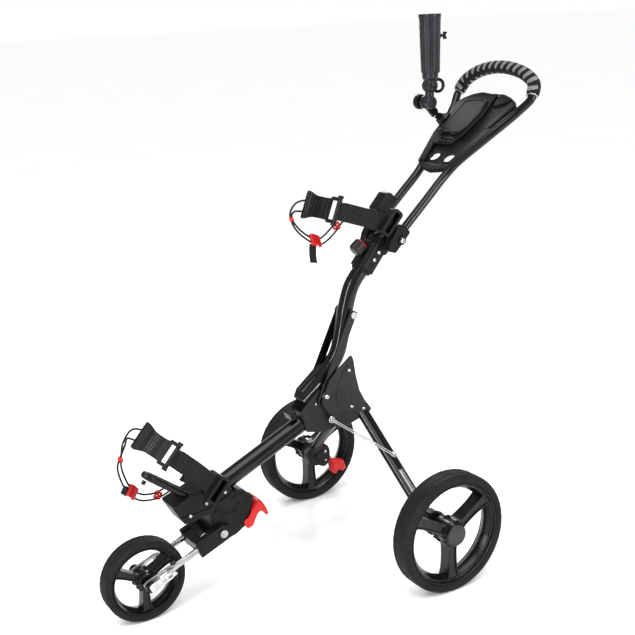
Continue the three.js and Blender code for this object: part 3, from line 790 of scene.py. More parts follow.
def barrel_shell(wheel, centre_x, centre):
    """Deep dished barrel with a rolled lip on each side and a rib in the middle."""
    outer = wheel["seat"] - 0.35
    half = wheel["width"] / 2 - 6.2
    dish = 0.14 * outer
    inner = [(outer + 0.2, half), (outer - 0.8, half + 2.2), (outer - 2.6, half + 2.6),
             (outer - 3.8, half + 1.2),
             (outer - 4.2, half - 1.5), (outer - 5, half - 4), (outer - 0.5 * dish, half - 5.5),
             (outer - 0.56 * dish, half - 9), (outer - 0.85 * dish, half * 0.35), (outer - dish, 0)]
    profile = inner + [(r, -x) for r, x in reversed(inner[:-1])]
    return lathe(profile, (centre_x, *centre), (1, 0, 0), 144, loop=True)


def hub_shells(wheel, centre_x, centre):
    """Stepped hub with a ring of ribs on each end."""
    hub, half = wheel["hub"], wheel["hub_width"] / 2
    bore = hub * 0.28
    profile = [(bore, -half + 1), (hub - 4, -half + 1), (hub - 2.5, -half + 2.5), (hub - 2, -half + 9),
               (hub + 1, -half + 11), (hub + 1.5, -half + 16), (hub - 2.5, -half + 19),
               (hub - 3, half - 19),
               (hub + 1.5, half - 16), (hub + 1, half - 11), (hub - 2, half - 9), (hub - 2.5, half - 2.5),
               (hub - 4, half - 1), (bore, half - 1)]
    shells = [lathe(profile, (centre_x, *centre), (1, 0, 0), 72, loop=True)]
    for k in range(12):
        theta = 2 * math.pi * k / 12
        direction = Vector((0, math.cos(theta), math.sin(theta)))
        middle = Vector((centre_x, *centre))
        for end in (-1, 1):
            start = middle + Vector((end * (half - 13), 0, 0)) + direction * (hub - 3)
            shells.append(block(start, start + direction * 6.2, 8, 5, (1, 0, 0), 0.6, 1.0))
    return shells


def add_wheel(label, body, wheel, centre_x, centre, nodes):
    tyre_node, rim_node = nodes
    piece(f"{label}_tyre", body, "tyre", [tyre_shell(wheel, centre_x, centre)], [tyre_node],
          angle=60, weighted=False)
    rim = [barrel_shell(wheel, centre_x, centre), *hub_shells(wheel, centre_x, centre)]
    rim += [spoke_shell(wheel, centre_x, centre, degrees) for degrees in SPOKE_ANGLES]
    piece(f"{label}_rim", body, "rim", rim, [rim_node])


def hub_cap(centre_x, side, centre, radius):
    origin = (centre_x, *centre)
    profile = [(0, 3.4), (radius * 0.55, 3.2), (radius * 0.84, 2.5), (radius * 0.9, 1.6),
               (radius * 0.94, 2.0),
               (radius * 0.985, 1.5), (radius, 0.4), (radius, -4), (0, -4)]
    return lathe(profile, origin, (side, 0, 0), 64)


def add_rear_wheels():
    for label, side in (("left", 1), ("right", -1)):
        body = f"rear_wheel_{label}"
        add_wheel(f"rear_{label}", body, REAR_WHEEL, side * HALF_TRACK, REAR_AXLE,
                  (f"rear_tyre_{label}", f"rear_rim_{label}"))
        piece(f"rear_{label}_hub_cap", body, "cap",
              [hub_cap(side * (HALF_TRACK + 30.5), side, REAR_AXLE, 26)])


def add_front_wheel():
    add_wheel("front", "front_wheel", FRONT_WHEEL, 0, FRONT_AXLE, ("front_tyre", "front_rim"))


add_rear_wheels()
add_front_wheel()

# ---------- tubes ----------


def add_tubes():
    low, high = (0, *TUBE_LOW), (0, *TUBE_HIGH)
    piece("lower_tube_painted", "main_frame", "paint",
          [rod(low, high, TUBE_RADIUS, segments=64)], ["lower_tube"])
    lug = side_slab([(-158, 424), (-140, 424), (-128, 440), (-120, 472), (-165, 446)], -12, 12)
    piece("mast_tube", "mast", "paint",
          [sweep(smooth_route(MAST_ROUTE, 12), circle(MAST_RADIUS, 48)), lug], ["mast"])


add_tubes()


def along_arm(u, lift=0.0):
    return (ARMS_START[0] + HANDLE_SLOPE[0] * u - HANDLE_SLOPE[1] * lift,
            ARMS_START[1] + HANDLE_SLOPE[1] * u + HANDLE_SLOPE[0] * lift)


HALF_HANDLE = [
    (52, 72, 804), (52, 150, 873), (52, 205, 922), (60, *along_arm(24)), (90, *along_arm(112)),
    (122, *along_arm(205)), (138, 408, 1098), (128, 425, 1128), (92, 432, 1150), (46, 434, 1162),
]
HANDLE_TOP = (0, 434, 1166)


def both_sides(half):
    return half + [HANDLE_TOP] + [(-x, y, z) for x, y, z in reversed(half)]


def add_handle_tubes():
    route = smooth_route(both_sides(HALF_HANDLE), 12)
    tube = sweep(route, circle(HANDLE_RADIUS, 32))
    piece("handle_tube", "handle", "paint", [tube], ["handle_frame"])


add_handle_tubes()

# ---------- straps and their ribbed levers ----------


def lever_shells(hinge, tip, width_axis):
    """Waisted lever with a window at the hinge, cross ribs and a rolled tip."""
    hinge, tip = Vector(hinge), Vector(tip)
    across = Vector((0, *width_axis))
    along = (tip - hinge).normalized()
    length = (tip - hinge).length + 3
    normal = along.cross(across).normalized()
    if normal.x < 0:
        normal = -normal
    window = 0.2 * length
    rib_start, rib_end, ribs = window + 8, 0.84 * length, 8

    def half_width(s):
        t = s / length
        return 25 + 6 * math.exp(-((t - 0.08) / 0.16) ** 2) + 8.5 * (1 / (1 + math.exp(-(t - 0.8) / 0.05)))

    rings = []
    steps = int(length - window)
    for k in range(steps + 1):
        s = window + (length - window) * k / steps
        rib = 0.0
        if rib_start < s < rib_end:
            rib = max(0.0, math.cos(2 * math.pi * ribs * (s - rib_start) / (rib_end - rib_start))) ** 1.5
        roll = math.exp(-((s - length + 6) / 6.5) ** 2)
        closing = min(1.0, (length - s + 0.6) / 4) ** 0.5
        top = (4.2 + 1.7 * rib + 4.2 * roll) * closing
        low = (-3.4 - 2.6 * roll) * closing
        w = half_width(s) - (1 - closing) * 4
        rim = 2.2
        section = [(-w + 1.2, low), (w - 1.2, low), (w, low + 1.2), (w, top - 1.4), (w - 1.2, top),
                   (w - rim, top), (w * 0.5, top + 0.2), (0, top + 0.3), (-w * 0.5, top + 0.2),
                   (-w + rim, top),
                   (-w + 1.2, top), (-w, top - 1.4), (-w, low + 1.2)]
        middle = hinge + along * s + normal * (3.5 * math.sin(math.pi * s / length))
        rings.append([middle + across * a + normal * b for a, b in section])
    shells = [skin(rings)]
    for side in (-1, 1):
        start = hinge + across * 26.5 * side
        rail_end = start + along * (window + 5) + normal * 1.5
        shells.append(block(start - along * 4, rail_end, 9, 8.4, across, 1.6, 2.2))
        shells.append(rod(hinge + across * 30 * side, hinge + across * 36 * side, 6.8, bevel=1.4))
    shells.append(rod(hinge - across * 31, hinge + across * 31, 5.6, bevel=1.2))
    return shells


def strap_shells(points, width_axis):
    """Webbing from the cradle's loop up to the hinge, folded back on itself and sewn near the hinge."""
    anchor, middle, hinge = (Vector(p) for p in points[:3])
    inside = anchor + (anchor - middle).normalized() * 3
    band = [(-21, -1.1), (21, -1.1), (21.3, 0), (21, 1.1), (-21, 1.1), (-21.3, 0)]
    route = smooth_route([inside, anchor * 0.75 + middle * 0.25, middle, hinge], 10)
    shells = [fixed_sweep(route, band, (0, *width_axis))]
    back = [p + Vector((1.6, 1.2, 1.2)) for p in route[len(route) // 2:-2]]
    shells.append(fixed_sweep(back, [(a * 0.985, b) for a, b in band], (0, *width_axis)))
    return shells


def add_strap(label, body, points, width_axis):
    piece(f"{label}_webbing", body, "webbing", strap_shells(points, width_axis),
          [f"{label}_strap_buckle"])
    piece(f"{label}_ribbed_lever", f"{label}_strap_lever", "satin",
          lever_shells(points[2], points[3], width_axis), [f"{label}_strap_lever"])


add_strap("lower", "main_frame", LOWER_STRAP, BAG_AXIS)
add_strap("upper", "mast", UPPER_STRAP, SLACK_AXIS)

# ---------- bag cradles ----------


def on_bag(origin, x, along, out):
    return Vector((x, origin[0] + along * BAG_AXIS[0] + out * BAG_OUT[0],
                   origin[1] + along * BAG_AXIS[1] + out * BAG_OUT[1]))


def loop_shells(origin, along, reach):
    """Deep rectangular loop that the webbing passes into, with a raised border and a recessed floor."""
    a, o = Vector((0, *BAG_AXIS)), Vector((0, *BAG_OUT))
    centre = on_bag(origin, 0, along, reach + 1)
    corners = rounded([(-30.5, -11), (30.5, -11), (30.5, 11), (-30.5, 11)], 5, 5)
    shells = []
    for x0, x1, thick in ((67, 90, 2.4), (86.5, 91, 3.6)):
        section = [(x0, -thick), (x1, -thick), (x1 + 0.4, -thick + 0.6), (x1 + 0.4, thick - 0.6),
                   (x1, thick),
                   (x0, thick)]
        path = [centre + a * p + o * q for p, q in corners]
        shells.append(fixed_sweep(path, section, (1, 0, 0), closed=True))
    shells.append(slab([(-29, -9), (29, -9), (29, 9), (-29, 9)], centre, a, o, 70, 74, 0.8, 2))
    return shells


def near_arm_shells(origin, along, reach, rise):
    """Broad arm to the loop, with three stiffening ribs on its upper face."""
    p, q = on_bag(origin, 27, along, reach - rise), on_bag(origin, 74, along, reach)
    a = Vector((0, *BAG_AXIS))
    up = (q - p).cross(a).normalized()
    if up.dot(Vector((0, *BAG_OUT))) < 0:
        up = -up
    shells = [block(p, q, 58, 11, a, 2.6, 4)]
    for shift in (-17, 0, 17):
        shells.append(block(p + a * shift + up * 5.6, q + a * shift + up * 5.6, 2.4, 3, a, 0.8, 0.9))
    return shells


def far_arm_shells(origin, along, reach, rise):
    """Slender curved arm on the far side, with a rounded eye for the cord's end."""
    start, end = on_bag(origin, -27, along, reach - rise), on_bag(origin, -72, along, reach)
    middle = (start + end) / 2 + Vector((0, *BAG_OUT)) * -5
    section = rounded([(-10, -3.6), (10, -3.6), (10, 3.6), (-10, 3.6)], 3, 4)
    route = smooth_route([start, middle, end], 10)
    shells = [fixed_sweep(route, section, (0, *BAG_AXIS))]
    shells.append(rod(end - Vector((0, *BAG_AXIS)) * 11, end + Vector((0, *BAG_AXIS)) * 11, 5.2, bevel=1.5))
    return shells


LOWER_BAG = (-470, 250)
UPPER_BAG = (38, 806)
REST_ROOT = (-505, 262)


def rest_point(x, reach):
    return x, REST_ROOT[0] - 0.78 * reach, REST_ROOT[1] + 0.62 * reach


def add_lower_cradle():
    base = side_slab([(-567, 264), (-540, 216), (-480, 222), (-425, 240), (-407, 251.5), (-427.6, 299.4),
                      (-480, 292)], -31, 31, 3, 7)
    ledge = side_slab([(-549, 232), (-540, 216), (-480, 222), (-425, 240), (-407, 252), (-411, 262),
                       (-428, 254),
                       (-482, 236)], -34, 34, 1.6, 3)
    rim = side_slab([(-566, 264), (-556, 254), (-484, 281), (-430, 290), (-428, 299), (-480, 292)],
                    -33, 33, 1.6, 2.5)
    shells = [base, ledge, rim, *near_arm_shells(LOWER_BAG, 34, 40, 30), *loop_shells(LOWER_BAG, 34, 40),
              *far_arm_shells(LOWER_BAG, 10, 34, 30)]
    piece("lower_cradle_moulding", "main_frame", "plastic", shells, ["lower_cradle"])
    heads = [screw((34, y, z), (1, 0, 0), 4.2) for y, z in ((-434, 266), (-483, 252), (-525, 233))]
    piece("lower_cradle_screws", "main_frame", "steel", heads + [flipped(head) for head in heads])
    points = [rest_point(x, reach) for x, reach in ((15, 0), (15, 40), (14, 100), (11, 128), (0, 138),
                                                    (-11, 128),
                                                     (-14, 100), (-15, 40), (-15, 0))]
    oval = circle(7.4, 20, 1.12)
    tip = Vector(rest_point(0, 130))
    stop = rod(tip - Vector((0, 7, 9)), tip - Vector((0, 13, 17)), 5, bevel=1.6)
    pivot = rod(rest_point(-24, 2), rest_point(24, 2), 9, bevel=2)
    cheeks = [block(rest_point(x, -4), rest_point(x, 22), 10, 21, bevel=2, fillet=5) for x in (-16, 16)]
    piece("bag_rest_loop", "main_frame", "satin",
          [sweep(smooth_route(points, 8), oval), stop, pivot, *cheeks], ["bag_rest"])


add_lower_cradle()

# ---------- centre bracket, covers and latch ----------

COVER_OUTLINE = [
    (-72, 525), (-67, 508), (-62, 470), (-53, 430), (-38, 400), (-18, 372), (-30, 363), (-60, 355),
    (-89, 347),
    (-107, 344), (-128, 352), (-143, 388), (-163, 420), (-140, 470), (-112, 496),
]
PANEL_OUTLINE = [
    (-80, 505), (-70, 498), (-66, 470), (-57, 432), (-42, 402), (-27, 379), (-40, 369), (-73, 376),
    (-99, 387),
    (-116, 400), (-124, 420), (-121, 440), (-112, 462), (-98, 486),
]
PANEL_RIBS = [
    [(-112, 417), (-100, 424), (-92, 434), (-76, 442)],
    [(-112, 404), (-102, 410), (-94, 417), (-82, 421)],
    [(-106, 434), (-98, 441), (-91, 451), (-80, 456)],
]


def add_centre():
    cover = [side_slab(COVER_OUTLINE, 33.4, 39, 1.8, 7), side_slab(PANEL_OUTLINE, 38, 40.6, 1.1, 6)]
    for rib in PANEL_RIBS:
        route = smooth_route([(40.4, y, z) for y, z in rib], 6)
        cover.append(sweep(route, circle(1.3, 10)))
    for label, shells in (("left", cover), ("right", [flipped(shell) for shell in cover])):
        piece(f"cover_{label}_moulding", "main_frame", "cover", shells, [f"cover_{label}"])
    heads = [screw((40.4, y, z), (1, 0, 0), radius) for y, z, radius in
             ((-83, 487, 4.2), (-79, 393, 4.2), (-45, 380, 4.2))]
    heads.append(screw((39, *MAST_PIVOT), (1, 0, 0), 6.4, 4))
    heads.append(screw((26, -171, 417), (1, 0, 0), 4.4))
    piece("centre_screws", "main_frame", "steel", heads + [flipped(head) for head in heads])
    foot = side_slab([(-207, 431), (-198, 450), (-150, 487), (-126, 502), (-116, 480), (-150, 447),
                      (-176, 424),
                      (-192, 416)], -21.4, 21.4, 2.2, 5)
    piece("mast_foot", "mast", "plastic", [foot])
    # Painted highlight: silver rods along both sides of the mast's slanted foot stand for the bright line
    # of reflected light on the gloss-black tube there, not for a real part.
    painted_highlight_rods = [rod((x, -204, 430), (x, -154, 465), 2.6) for x in (19.4, -19.4)]
    piece("mast_foot_painted_highlight", "mast", "silver", painted_highlight_rods)
    latch = [block((-15, -229, 397), (15, -229, 397), 18, 22, (0, 0.92, 0.39), 2, 4)]
    for k in range(5):
        x = -12 + 6 * k
        latch.append(block((x, -240, 402), (x, -220, 410), 2.6, 6, bevel=0.8, fillet=1))
    piece("latch_block", "mast_latch", "satin", latch, ["mast_latch"])


add_centre()

# ---------- legs, stays and brake ----------


def leg_section(a=16.5, b=12.0, channel=6.4, depth=2.4):
    """Oval section with a flat-bottomed channel along its upper side."""
    lip = b * math.sqrt(1 - (channel / a) ** 2)
    points = []
    for k in range(44):
        angle = 2 * math.pi * k / 44
        x, y = a * math.cos(angle), b * math.sin(angle)
        if y > 0 and abs(x) < channel + 0.4:
            continue
        points.append((x, y))
    first = next(i for i, p in enumerate(points) if p[0] < 0 and p[1] > 0)
    notch = [(channel, lip), (channel - 0.5, lip - depth), (-channel + 0.5, lip - depth), (-channel, lip)]
    return points[:first] + notch + points[first:]


def add_leg(label, mirror):
    def sided(shells):
        return [flipped(shell) for shell in shells] if mirror else shells

    top, end = Vector(LEG_TOP), Vector(LEG_END)
    along = (end - top).normalized()
    body = f"leg_{label}"
    tube = sweep([top, end], leg_section(), (0, 1, 0))
    piece(f"leg_{label}_tube", body, "paint", sided([tube]), [f"leg_{label}"])
    strip = [(-5.6, 8), (5.6, 8), (5.6, 11.4), (3.4, 11.8), (3.0, 11), (1.4, 11), (1.0, 11.9), (-1.0, 11.9),
             (-1.4, 11), (-3.0, 11), (-3.4, 11.8), (-5.6, 11.4)]
    insert = sweep([top.lerp(end, 0.57), top.lerp(end, 0.93)], strip, (0, 1, 0))
    piece(f"leg_{label}_strip", body, "silver", sided([insert]))
    oval = circle(1, 40, 0.74)
    route = [end - along * 40, end - along * 38, end - along * 2, end + along * 8, end + along * 12]
    sizes = [17.2, 18.8, 19.4, 18.6, 15]
    rings = []
    for point, size in zip(route, sizes):
        side = Vector((0, 1, 0)) - along * along.y
        side.normalize()
        up = along.cross(side)
        rings.append([point + side * a * size + up * b * size for a, b in oval])
    socket = [skin(rings)]
    bracket = side_slab([(-36, 138), (-20, 124), (14, 126), (22, 145), (14, 166), (-6, 184), (-30, 184)],
                        250, 276, 3, 8)
    hub = lathe([(0, 252), (25, 252), (29, 255), (30, 262), (27, 268), (27, 274), (24, 277.5), (0, 277.5)],
                (0, *REAR_AXLE), (1, 0, 0), 56)
    collar = lathe([(0, 250), (13, 250), (15, 247), (12, 243), (0, 242)], (0, *REAR_AXLE), (1, 0, 0), 40)
    shells = socket + [bracket, hub, collar]
    if mirror:
        drum = lathe([(0, 254), (30, 254), (34, 257), (34.4, 270), (31, 275), (0, 275)], (0, *REAR_AXLE),
                     (1, 0, 0), 64)
        housing = side_slab([(-10, 160), (30, 166), (36, 150), (36, 128), (30, 112), (16, 104), (-4, 114),
                             (-16, 128)], 250.5, 262, 2.4, 7)
        shells += [drum, housing]
    piece(f"axle_bracket_{label}_moulding", body, "plastic", sided(shells),
          [f"axle_bracket_{label}"])
    if mirror:
        heads = [screw((250.6, y, z), (-1, 0, 0), 3.6) for y, z in ((2, 150), (20, 150), (20, 124))]
        piece("brake_housing_screws", body, "steel", sided(heads))


def stay_shells():
    """Bent wire with a ring at the bolt and a coiled clip at the leg."""
    ring, clip = Vector(STAY_RING), Vector(STAY_CLIP)
    along = (clip - ring).normalized()
    side = along.cross(Vector((0.6, -1, 0.5))).normalized()
    shells = [rod(ring + side * k + along * 6, clip + side * k, 1.45, bevel=0.4, segments=14)
              for k in (-2.1, 2.1)]
    eye = [ring + Vector((0, *spot)) for spot in circle(7, 24)]
    shells.append(sweep(eye, circle(1.8, 12), closed=True))
    shells.append(screw(ring + Vector((-3.5, 0, 0)), (1, 0, 0), 5.2, 6.5))
    across = Vector((0.3, -0.9, 0.2)).normalized()
    for k in range(4):
        centre = clip + along * (k * 2.6 - 5)
        u, v = across, along.cross(across).normalized()
        coil = [centre + u * a + v * b for a, b in circle(5.4, 20)]
        shells.append(sweep(coil, circle(1.2, 10), closed=True))
    return shells


def add_stays():
    wires = stay_shells()
    for label, shells in (("left", wires), ("right", [flipped(shell) for shell in wires])):
        piece(f"stay_{label}_wire", f"stay_{label}", "steel", shells, [f"leg_stay_{label}"])


def add_brake_pedal():
    outline = [(36, 138), (46, 118), (83, 105), (92, 79), (81, 71), (66, 80), (57, 67), (44, 77), (38, 108),
               (30, 122)]
    ridge = [(48, 108), (74, 98), (80, 84), (66, 88), (54, 80), (48, 88)]
    piece("brake_pedal_moulding", "brake_pedal", "red",
          [side_slab(outline, -274, -256, 4.5, 8), side_slab(ridge, -257, -253.6, 1.4, 5)], ["brake_pedal"])


add_leg("left", False)
add_leg("right", True)
add_stays()
add_brake_pedal()

# ---------- fork, its housing and the release lever ----------

FORK_SPAN = math.hypot(FORK_BOLT[0] - FRONT_AXLE[0], FORK_BOLT[1] - FRONT_AXLE[1])


def along_fork(distance, across=0):
    """Side-view point at a distance from the front axle towards the fork's bolt."""
    dy = (FORK_BOLT[0] - FRONT_AXLE[0]) / FORK_SPAN
    dz = (FORK_BOLT[1] - FRONT_AXLE[1]) / FORK_SPAN
    return FRONT_AXLE[0] + dy * distance - dz * across, FRONT_AXLE[1] + dz * distance + dy * across


def fork_slab(outline, x0, x1, bevel=1.0, fillet=3.0):
    return side_slab([along_fork(distance, across) for distance, across in outline], x0, x1, bevel, fillet)


def add_fork_bars():
    """Slim bars that widen into slotted plates at the axle."""
    bar = fork_slab([(52, -7.6), (FORK_SPAN - 26, -7.6), (FORK_SPAN - 26, 7.6), (52, 7.6)],
                    34.4, 41.6, 2.4, 1)
    end = fork_slab([(-12, -10.5), (-5, -13), (56, -12), (68, -7), (68, 7), (56, 12), (-5, 13),
                     (-12, 10.5)],
                    35, 41, 1.2, 5)
    slots = [fork_slab([(28, -4.5), (48, -4.5), (48, 4.5), (28, 4.5)], 20, 60, 0, 4)]
    groove_cut = fork_slab([(76, -2), (FORK_SPAN - 40, -2), (FORK_SPAN - 40, 2), (76, 2)], 40.2, 60, 0, 1.5)
    for label, turned in (("left", False), ("right", True)):
        shells, holes = [bar, end], [*slots, groove_cut]
        if turned:
            shells, holes = [flipped(shell) for shell in shells], [flipped(hole) for hole in holes]
        piece(f"fork_bar_{label}_slotted", "fork", "silver", shells, [f"fork_bar_{label}"],
              holes=holes)


def add_tracking_lever():
    blade = fork_slab([(-6, -8), (0, -11), (50, -9), (62, -3), (62, 3), (50, 9), (0, 11), (-6, 8)],
                      FORK_X + 16, FORK_X + 19, 0.8, 4)
    slots = [fork_slab([(u, -4), (u + 11, -4), (u + 11, 4), (u, 4)], 40, 70, 0, 2.5) for u in (25, 41)]
    tab = fork_slab([(52, -4), (63, -3), (63, 3), (52, 4)], FORK_X + 17, FORK_X + 24, 1, 1.5)
    piece("tracking_lever_blade", NODE_BODY["tracking_lever"], "steel", [blade, tab],
          ["tracking_lever"], holes=slots)


HOUSING_OUTLINE = [(-474, 158), (-462, 143), (-440, 141), (-407, 150), (-380, 166), (-366, 205),
                   (-358, 231),
                   (-384, 256), (-404, 262), (-418, 252), (-436, 250), (-452, 241), (-470, 232),
                   (-476, 200)]
HOUSING_PANEL = [(-464, 160), (-456, 150), (-438, 149), (-412, 158), (-390, 172), (-376, 208), (-370, 230),
                 (-388, 248), (-402, 252), (-416, 243), (-436, 240), (-463, 225), (-467, 200)]
HOUSING_WAVE = [(-462, 222), (-448, 222), (-436, 210), (-424, 206), (-410, 212), (-398, 228), (-384, 232),
                (-374, 224)]


def add_housing():
    shell = side_slab(HOUSING_OUTLINE, -30, 30, 3, 6)
    panel = side_slab(HOUSING_PANEL, 28, 32.2, 1.8, 7)
    boss = lathe([(0, 0), (15, 0), (17, 1.4), (17.6, 4), (0, 4)], (33.6, *FORK_BOLT), (-1, 0, 0), 48)
    wave = sweep(smooth_route([(31.6, y, z) for y, z in HOUSING_WAVE], 8), circle(3.2, 14))
    ribs = [block((31, y, z), (31, y + 16, z + 12), 4, 3, bevel=1, fillet=1)
            for y, z in ((-430, 168), (-418, 165), (-406, 166))]
    piece("front_housing_moulding", "main_frame", "plastic",
          [shell, *both(panel), *both(boss), *both(wave), *[part for rib in ribs for part in both(rib)]],
          ["front_housing"])


LEVER_PADDLE = [(-366, 200), (-358, 212), (-350, 219), (-338, 214), (-326, 194), (-320, 176), (-326, 172),
                (-334, 184), (-341, 189), (-349, 184), (-356, 172), (-361, 160), (-370, 154), (-378, 158),
                (-373, 172)]
LEVER_CHEEK = [(-390, 178), (-378, 184), (-366, 200), (-356, 213), (-348, 216), (-336, 206), (-326, 188),
               (-330, 182), (-340, 192), (-350, 190), (-360, 176), (-368, 160), (-380, 156), (-389, 165)]


def add_release_lever():
    paddle = side_slab(LEVER_PADDLE, -30, 30, 2.4, 4)
    cheek = side_slab(LEVER_CHEEK, 31.6, 35.6, 1.4, 4)
    ribs = [rod((-26, y, z), (26, y, z), 1.7, segments=12)
            for y, z in ((-344, 217), (-337, 211), (-331, 202))]
    piece("fork_release_paddle", NODE_BODY["fork_release_lever"], "red",
          [paddle, *both(cheek), *ribs], ["fork_release_lever"])


def add_yoke_trim():
    """Raised edges and a step on the yoke's sides."""
    side = fork_slab([(134, -20), (FORK_SPAN + 4, -20), (FORK_SPAN + 18, -8), (FORK_SPAN + 18, 8),
                      (FORK_SPAN + 4, 20), (134, 20)], 43.4, 46.4, 1.4, 6)
    step = fork_slab([(144, -13), (FORK_SPAN - 20, -13), (FORK_SPAN - 20, 13), (144, 13)], 45, 47.8, 1.2, 4)
    piece("fork_yoke_trim", "fork", "plastic", [*both(side), *both(step)])


add_fork_bars()
add_tracking_lever()
add_housing()
add_release_lever()
add_yoke_trim()

# ---------- upper clamp, cradle, knob and hinge ----------


def add_upper():
    axis = Vector((0, 0.643, 0.766))
    foot, head = Vector((0, -11, 718)), Vector((0, 34, 772))
    sleeve_shell = block(foot, head, 54, 49, (1, 0, 0), 2.4, 17)
    lip = block(foot - axis * 6, foot + axis * 2, 44, 42, (1, 0, 0), 1.6, 16)
    ears = side_slab([(30, 790), (12, 752), (44, 748), (76, 773), (78, 796),
                      (58, 804)], -27.4, 27.4, 2.6, 6)
    pads = [side_slab([(0, 745), (8, 733), (34, 762), (24, 772)], 24, 28.6, 1.4, 4)]
    pads.append(flipped(pads[0]))
    piece("upper_clamp_sleeve", "mast", "plastic", [sleeve_shell, lip, ears, *pads],
          ["upper_clamp"])
    heads = [screw((28.4, y, z), (1, 0, 0), 4.6) for y, z in ((23, 759), (9, 743))]
    piece("upper_clamp_screws", "mast", "steel", heads + [flipped(head) for head in heads])
    base = slab([(-2, -4), (52, -4), (52, 22), (-2, 22)], (0, *UPPER_BAG), (0, *BAG_AXIS), (0, *BAG_OUT),
                -28, 28, 2.4, 5)
    pad = slab([(26, 8), (87, 12), (87, 40), (80, 50), (34, 50), (26, 40)], (0, *UPPER_BAG), (0, *BAG_AXIS),
               (0, *BAG_OUT), -13, 25, 5, 7)
    seam = slab([(30, 20), (84, 20), (84, 44), (30, 44)], (0, *UPPER_BAG), (0, *BAG_AXIS), (0, *BAG_OUT),
                24, 26.4, 1.1, 5)
    shells = [base, pad, seam, *near_arm_shells(UPPER_BAG, 13, 36, 22), *loop_shells(UPPER_BAG, 13, 36),
              *far_arm_shells(UPPER_BAG, 13, 36, 22)]
    piece("upper_cradle_moulding", "mast", "plastic", shells, ["upper_cradle"])
    p, q = Vector((0, -31, 764)), Vector((0, -2, 786))
    turn = (q - p).normalized()
    profile = [(0, 0), (12, 0.2), (15, 2.4), (16, 6), (16, 26), (14, 30), (9, 34), (0, 34)]
    knob = [lathe(profile, p, turn, 56)]
    u = turn.orthogonal().normalized()
    v = turn.cross(u)
    for k in range(16):
        angle = 2 * math.pi * k / 16
        edge = p + (u * math.cos(angle) + v * math.sin(angle)) * 15.6
        knob.append(rod(edge + turn * 5, edge + turn * 26, 1.7, segments=10))
    piece("height_knob_ridged", "height_knob", "charcoal", knob, ["height_knob"])
    ring = lathe([(15, 27.4), (17, 27.4), (17.4, 28.2), (17, 29), (15, 29)], p, turn, 56, loop=True)
    piece("height_knob_line", "height_knob", "red", [ring])


def add_hinge():
    outline = [(56, 827), (76, 823), (95, 804), (49, 758), (27, 766), (35, 792)]
    cheek = side_slab(outline, 40, 64.6, 5, 9)
    step = side_slab([(58, 823), (74, 820), (91, 804), (50, 763), (44, 768), (70, 794), (62, 806)],
                     60, 66.4, 2, 5)
    bridge = side_slab([(83, 810), (90.5, 801), (83, 794.5), (75.5, 804)], -62, 62, 2, 3)
    piece("handle_hinge_moulding", "handle", "plastic",
          [*both(cheek), *both(step), bridge], ["handle_hinge_block"])
    bolt = screw((66.4, *HINGE_BOLT), (1, 0, 0), 7.2, 3.6)
    shank = rod((-64, *HINGE_BOLT), (64, *HINGE_BOLT), 5.8)
    piece("handle_hinge_through_bolt", "mast", "steel", [bolt, flipped(bolt), shank],
          ["handle_hinge_bolt"])
    washer = lathe([(7.6, -0.5), (10.6, -0.5), (10.8, 1.2), (9.8, 2), (7.6, 1.2)], (66.2, *HINGE_BOLT),
                   (1, 0, 0), 40, loop=True)
    piece("handle_hinge_collar", "handle", "satin", [washer, flipped(washer)])


add_upper()
add_hinge()

# ---------- grip, console and score-card lid ----------


def grip_route():
    return smooth_route(both_sides(HALF_HANDLE[6:]), 24)


def add_grip():
    route = grip_route()
    lengths = [0.0]
    for a, b in zip(route, route[1:]):
        lengths.append(lengths[-1] + (b - a).length)
    total = lengths[-1]
    found = frames(route, (1, 0, 0))
    out_of_plane = Vector((0, -0.5, 0.86))

    def at_length(distance):
        distance = min(max(distance, 0), total - 1e-6)
        i = max(k for k in range(len(lengths)) if lengths[k] <= distance)
        i = min(i, len(route) - 2)
        t = (distance - lengths[i]) / (lengths[i + 1] - lengths[i])
        along = found[i][0].lerp(found[i + 1][0], t).normalized()
        up = (out_of_plane - along * out_of_plane.dot(along)).normalized()
        return route[i].lerp(route[i + 1], t), along, up, along.cross(up)

    ends = 7
    rings = []
    steps = 220
    for k in range(steps + 1):
        distance = ends + (total - 2 * ends) * k / steps
        closeness = min(distance - ends, total - ends - distance)
        radius = GRIP_RADIUS - 1.6 * math.exp(-closeness / 2.2)
        point, along, up, lateral = at_length(distance)
        rings.append([point + (up * math.cos(a) + lateral * math.sin(a)) * radius
                      for a in (2 * math.pi * j / 40 for j in range(40))])
    piece("handle_foam_grip", "handle", "foam", [skin(rings)], ["handle_grip"])
    stripes = []
    count = 15
    pitch = (total - 2 * ends) / count
    for i in range(count):
        start = ends + pitch * (i + 0.2)
        for face in (0, math.pi):
            rows = []
            for k in range(9):
                s = k / 8
                bulge = math.sin(math.pi * s) ** 0.35
                row = []
                for j in range(17):
                    t = -1 + 2 * j / 16
                    angle = face + math.radians(78) * t * bulge
                    distance = start + pitch * 0.6 * s + 4.5 * t * t
                    point, along, up, lateral = at_length(distance)
                    edge = min(1.0, (1 - abs(t)) / 0.12, s / 0.1 + 0.01, (1 - s) / 0.1 + 0.01)
                    radius = GRIP_RADIUS - 0.25 + 0.5 * edge ** 0.5
                    row.append(point + (up * math.cos(angle) + lateral * math.sin(angle)) * radius)
                rows.append(row)
            stripes.append(open_patch(rows))
    piece("handle_grip_stripes", "handle", "stripe", stripes, weighted=False)
    collars = []
    for distance, sign in ((ends - 2, 1), (total - ends + 2, -1)):
        point, along, up, lateral = at_length(distance)
        collars.append(lathe([(11, -1.6), (14.6, -1.6), (15.6, -0.8), (15.6, 0.8), (14.6, 1.6), (11, 1.6)],
                             point, along * sign, 48, loop=True))
    piece("handle_grip_rings", "handle", "silver", collars)


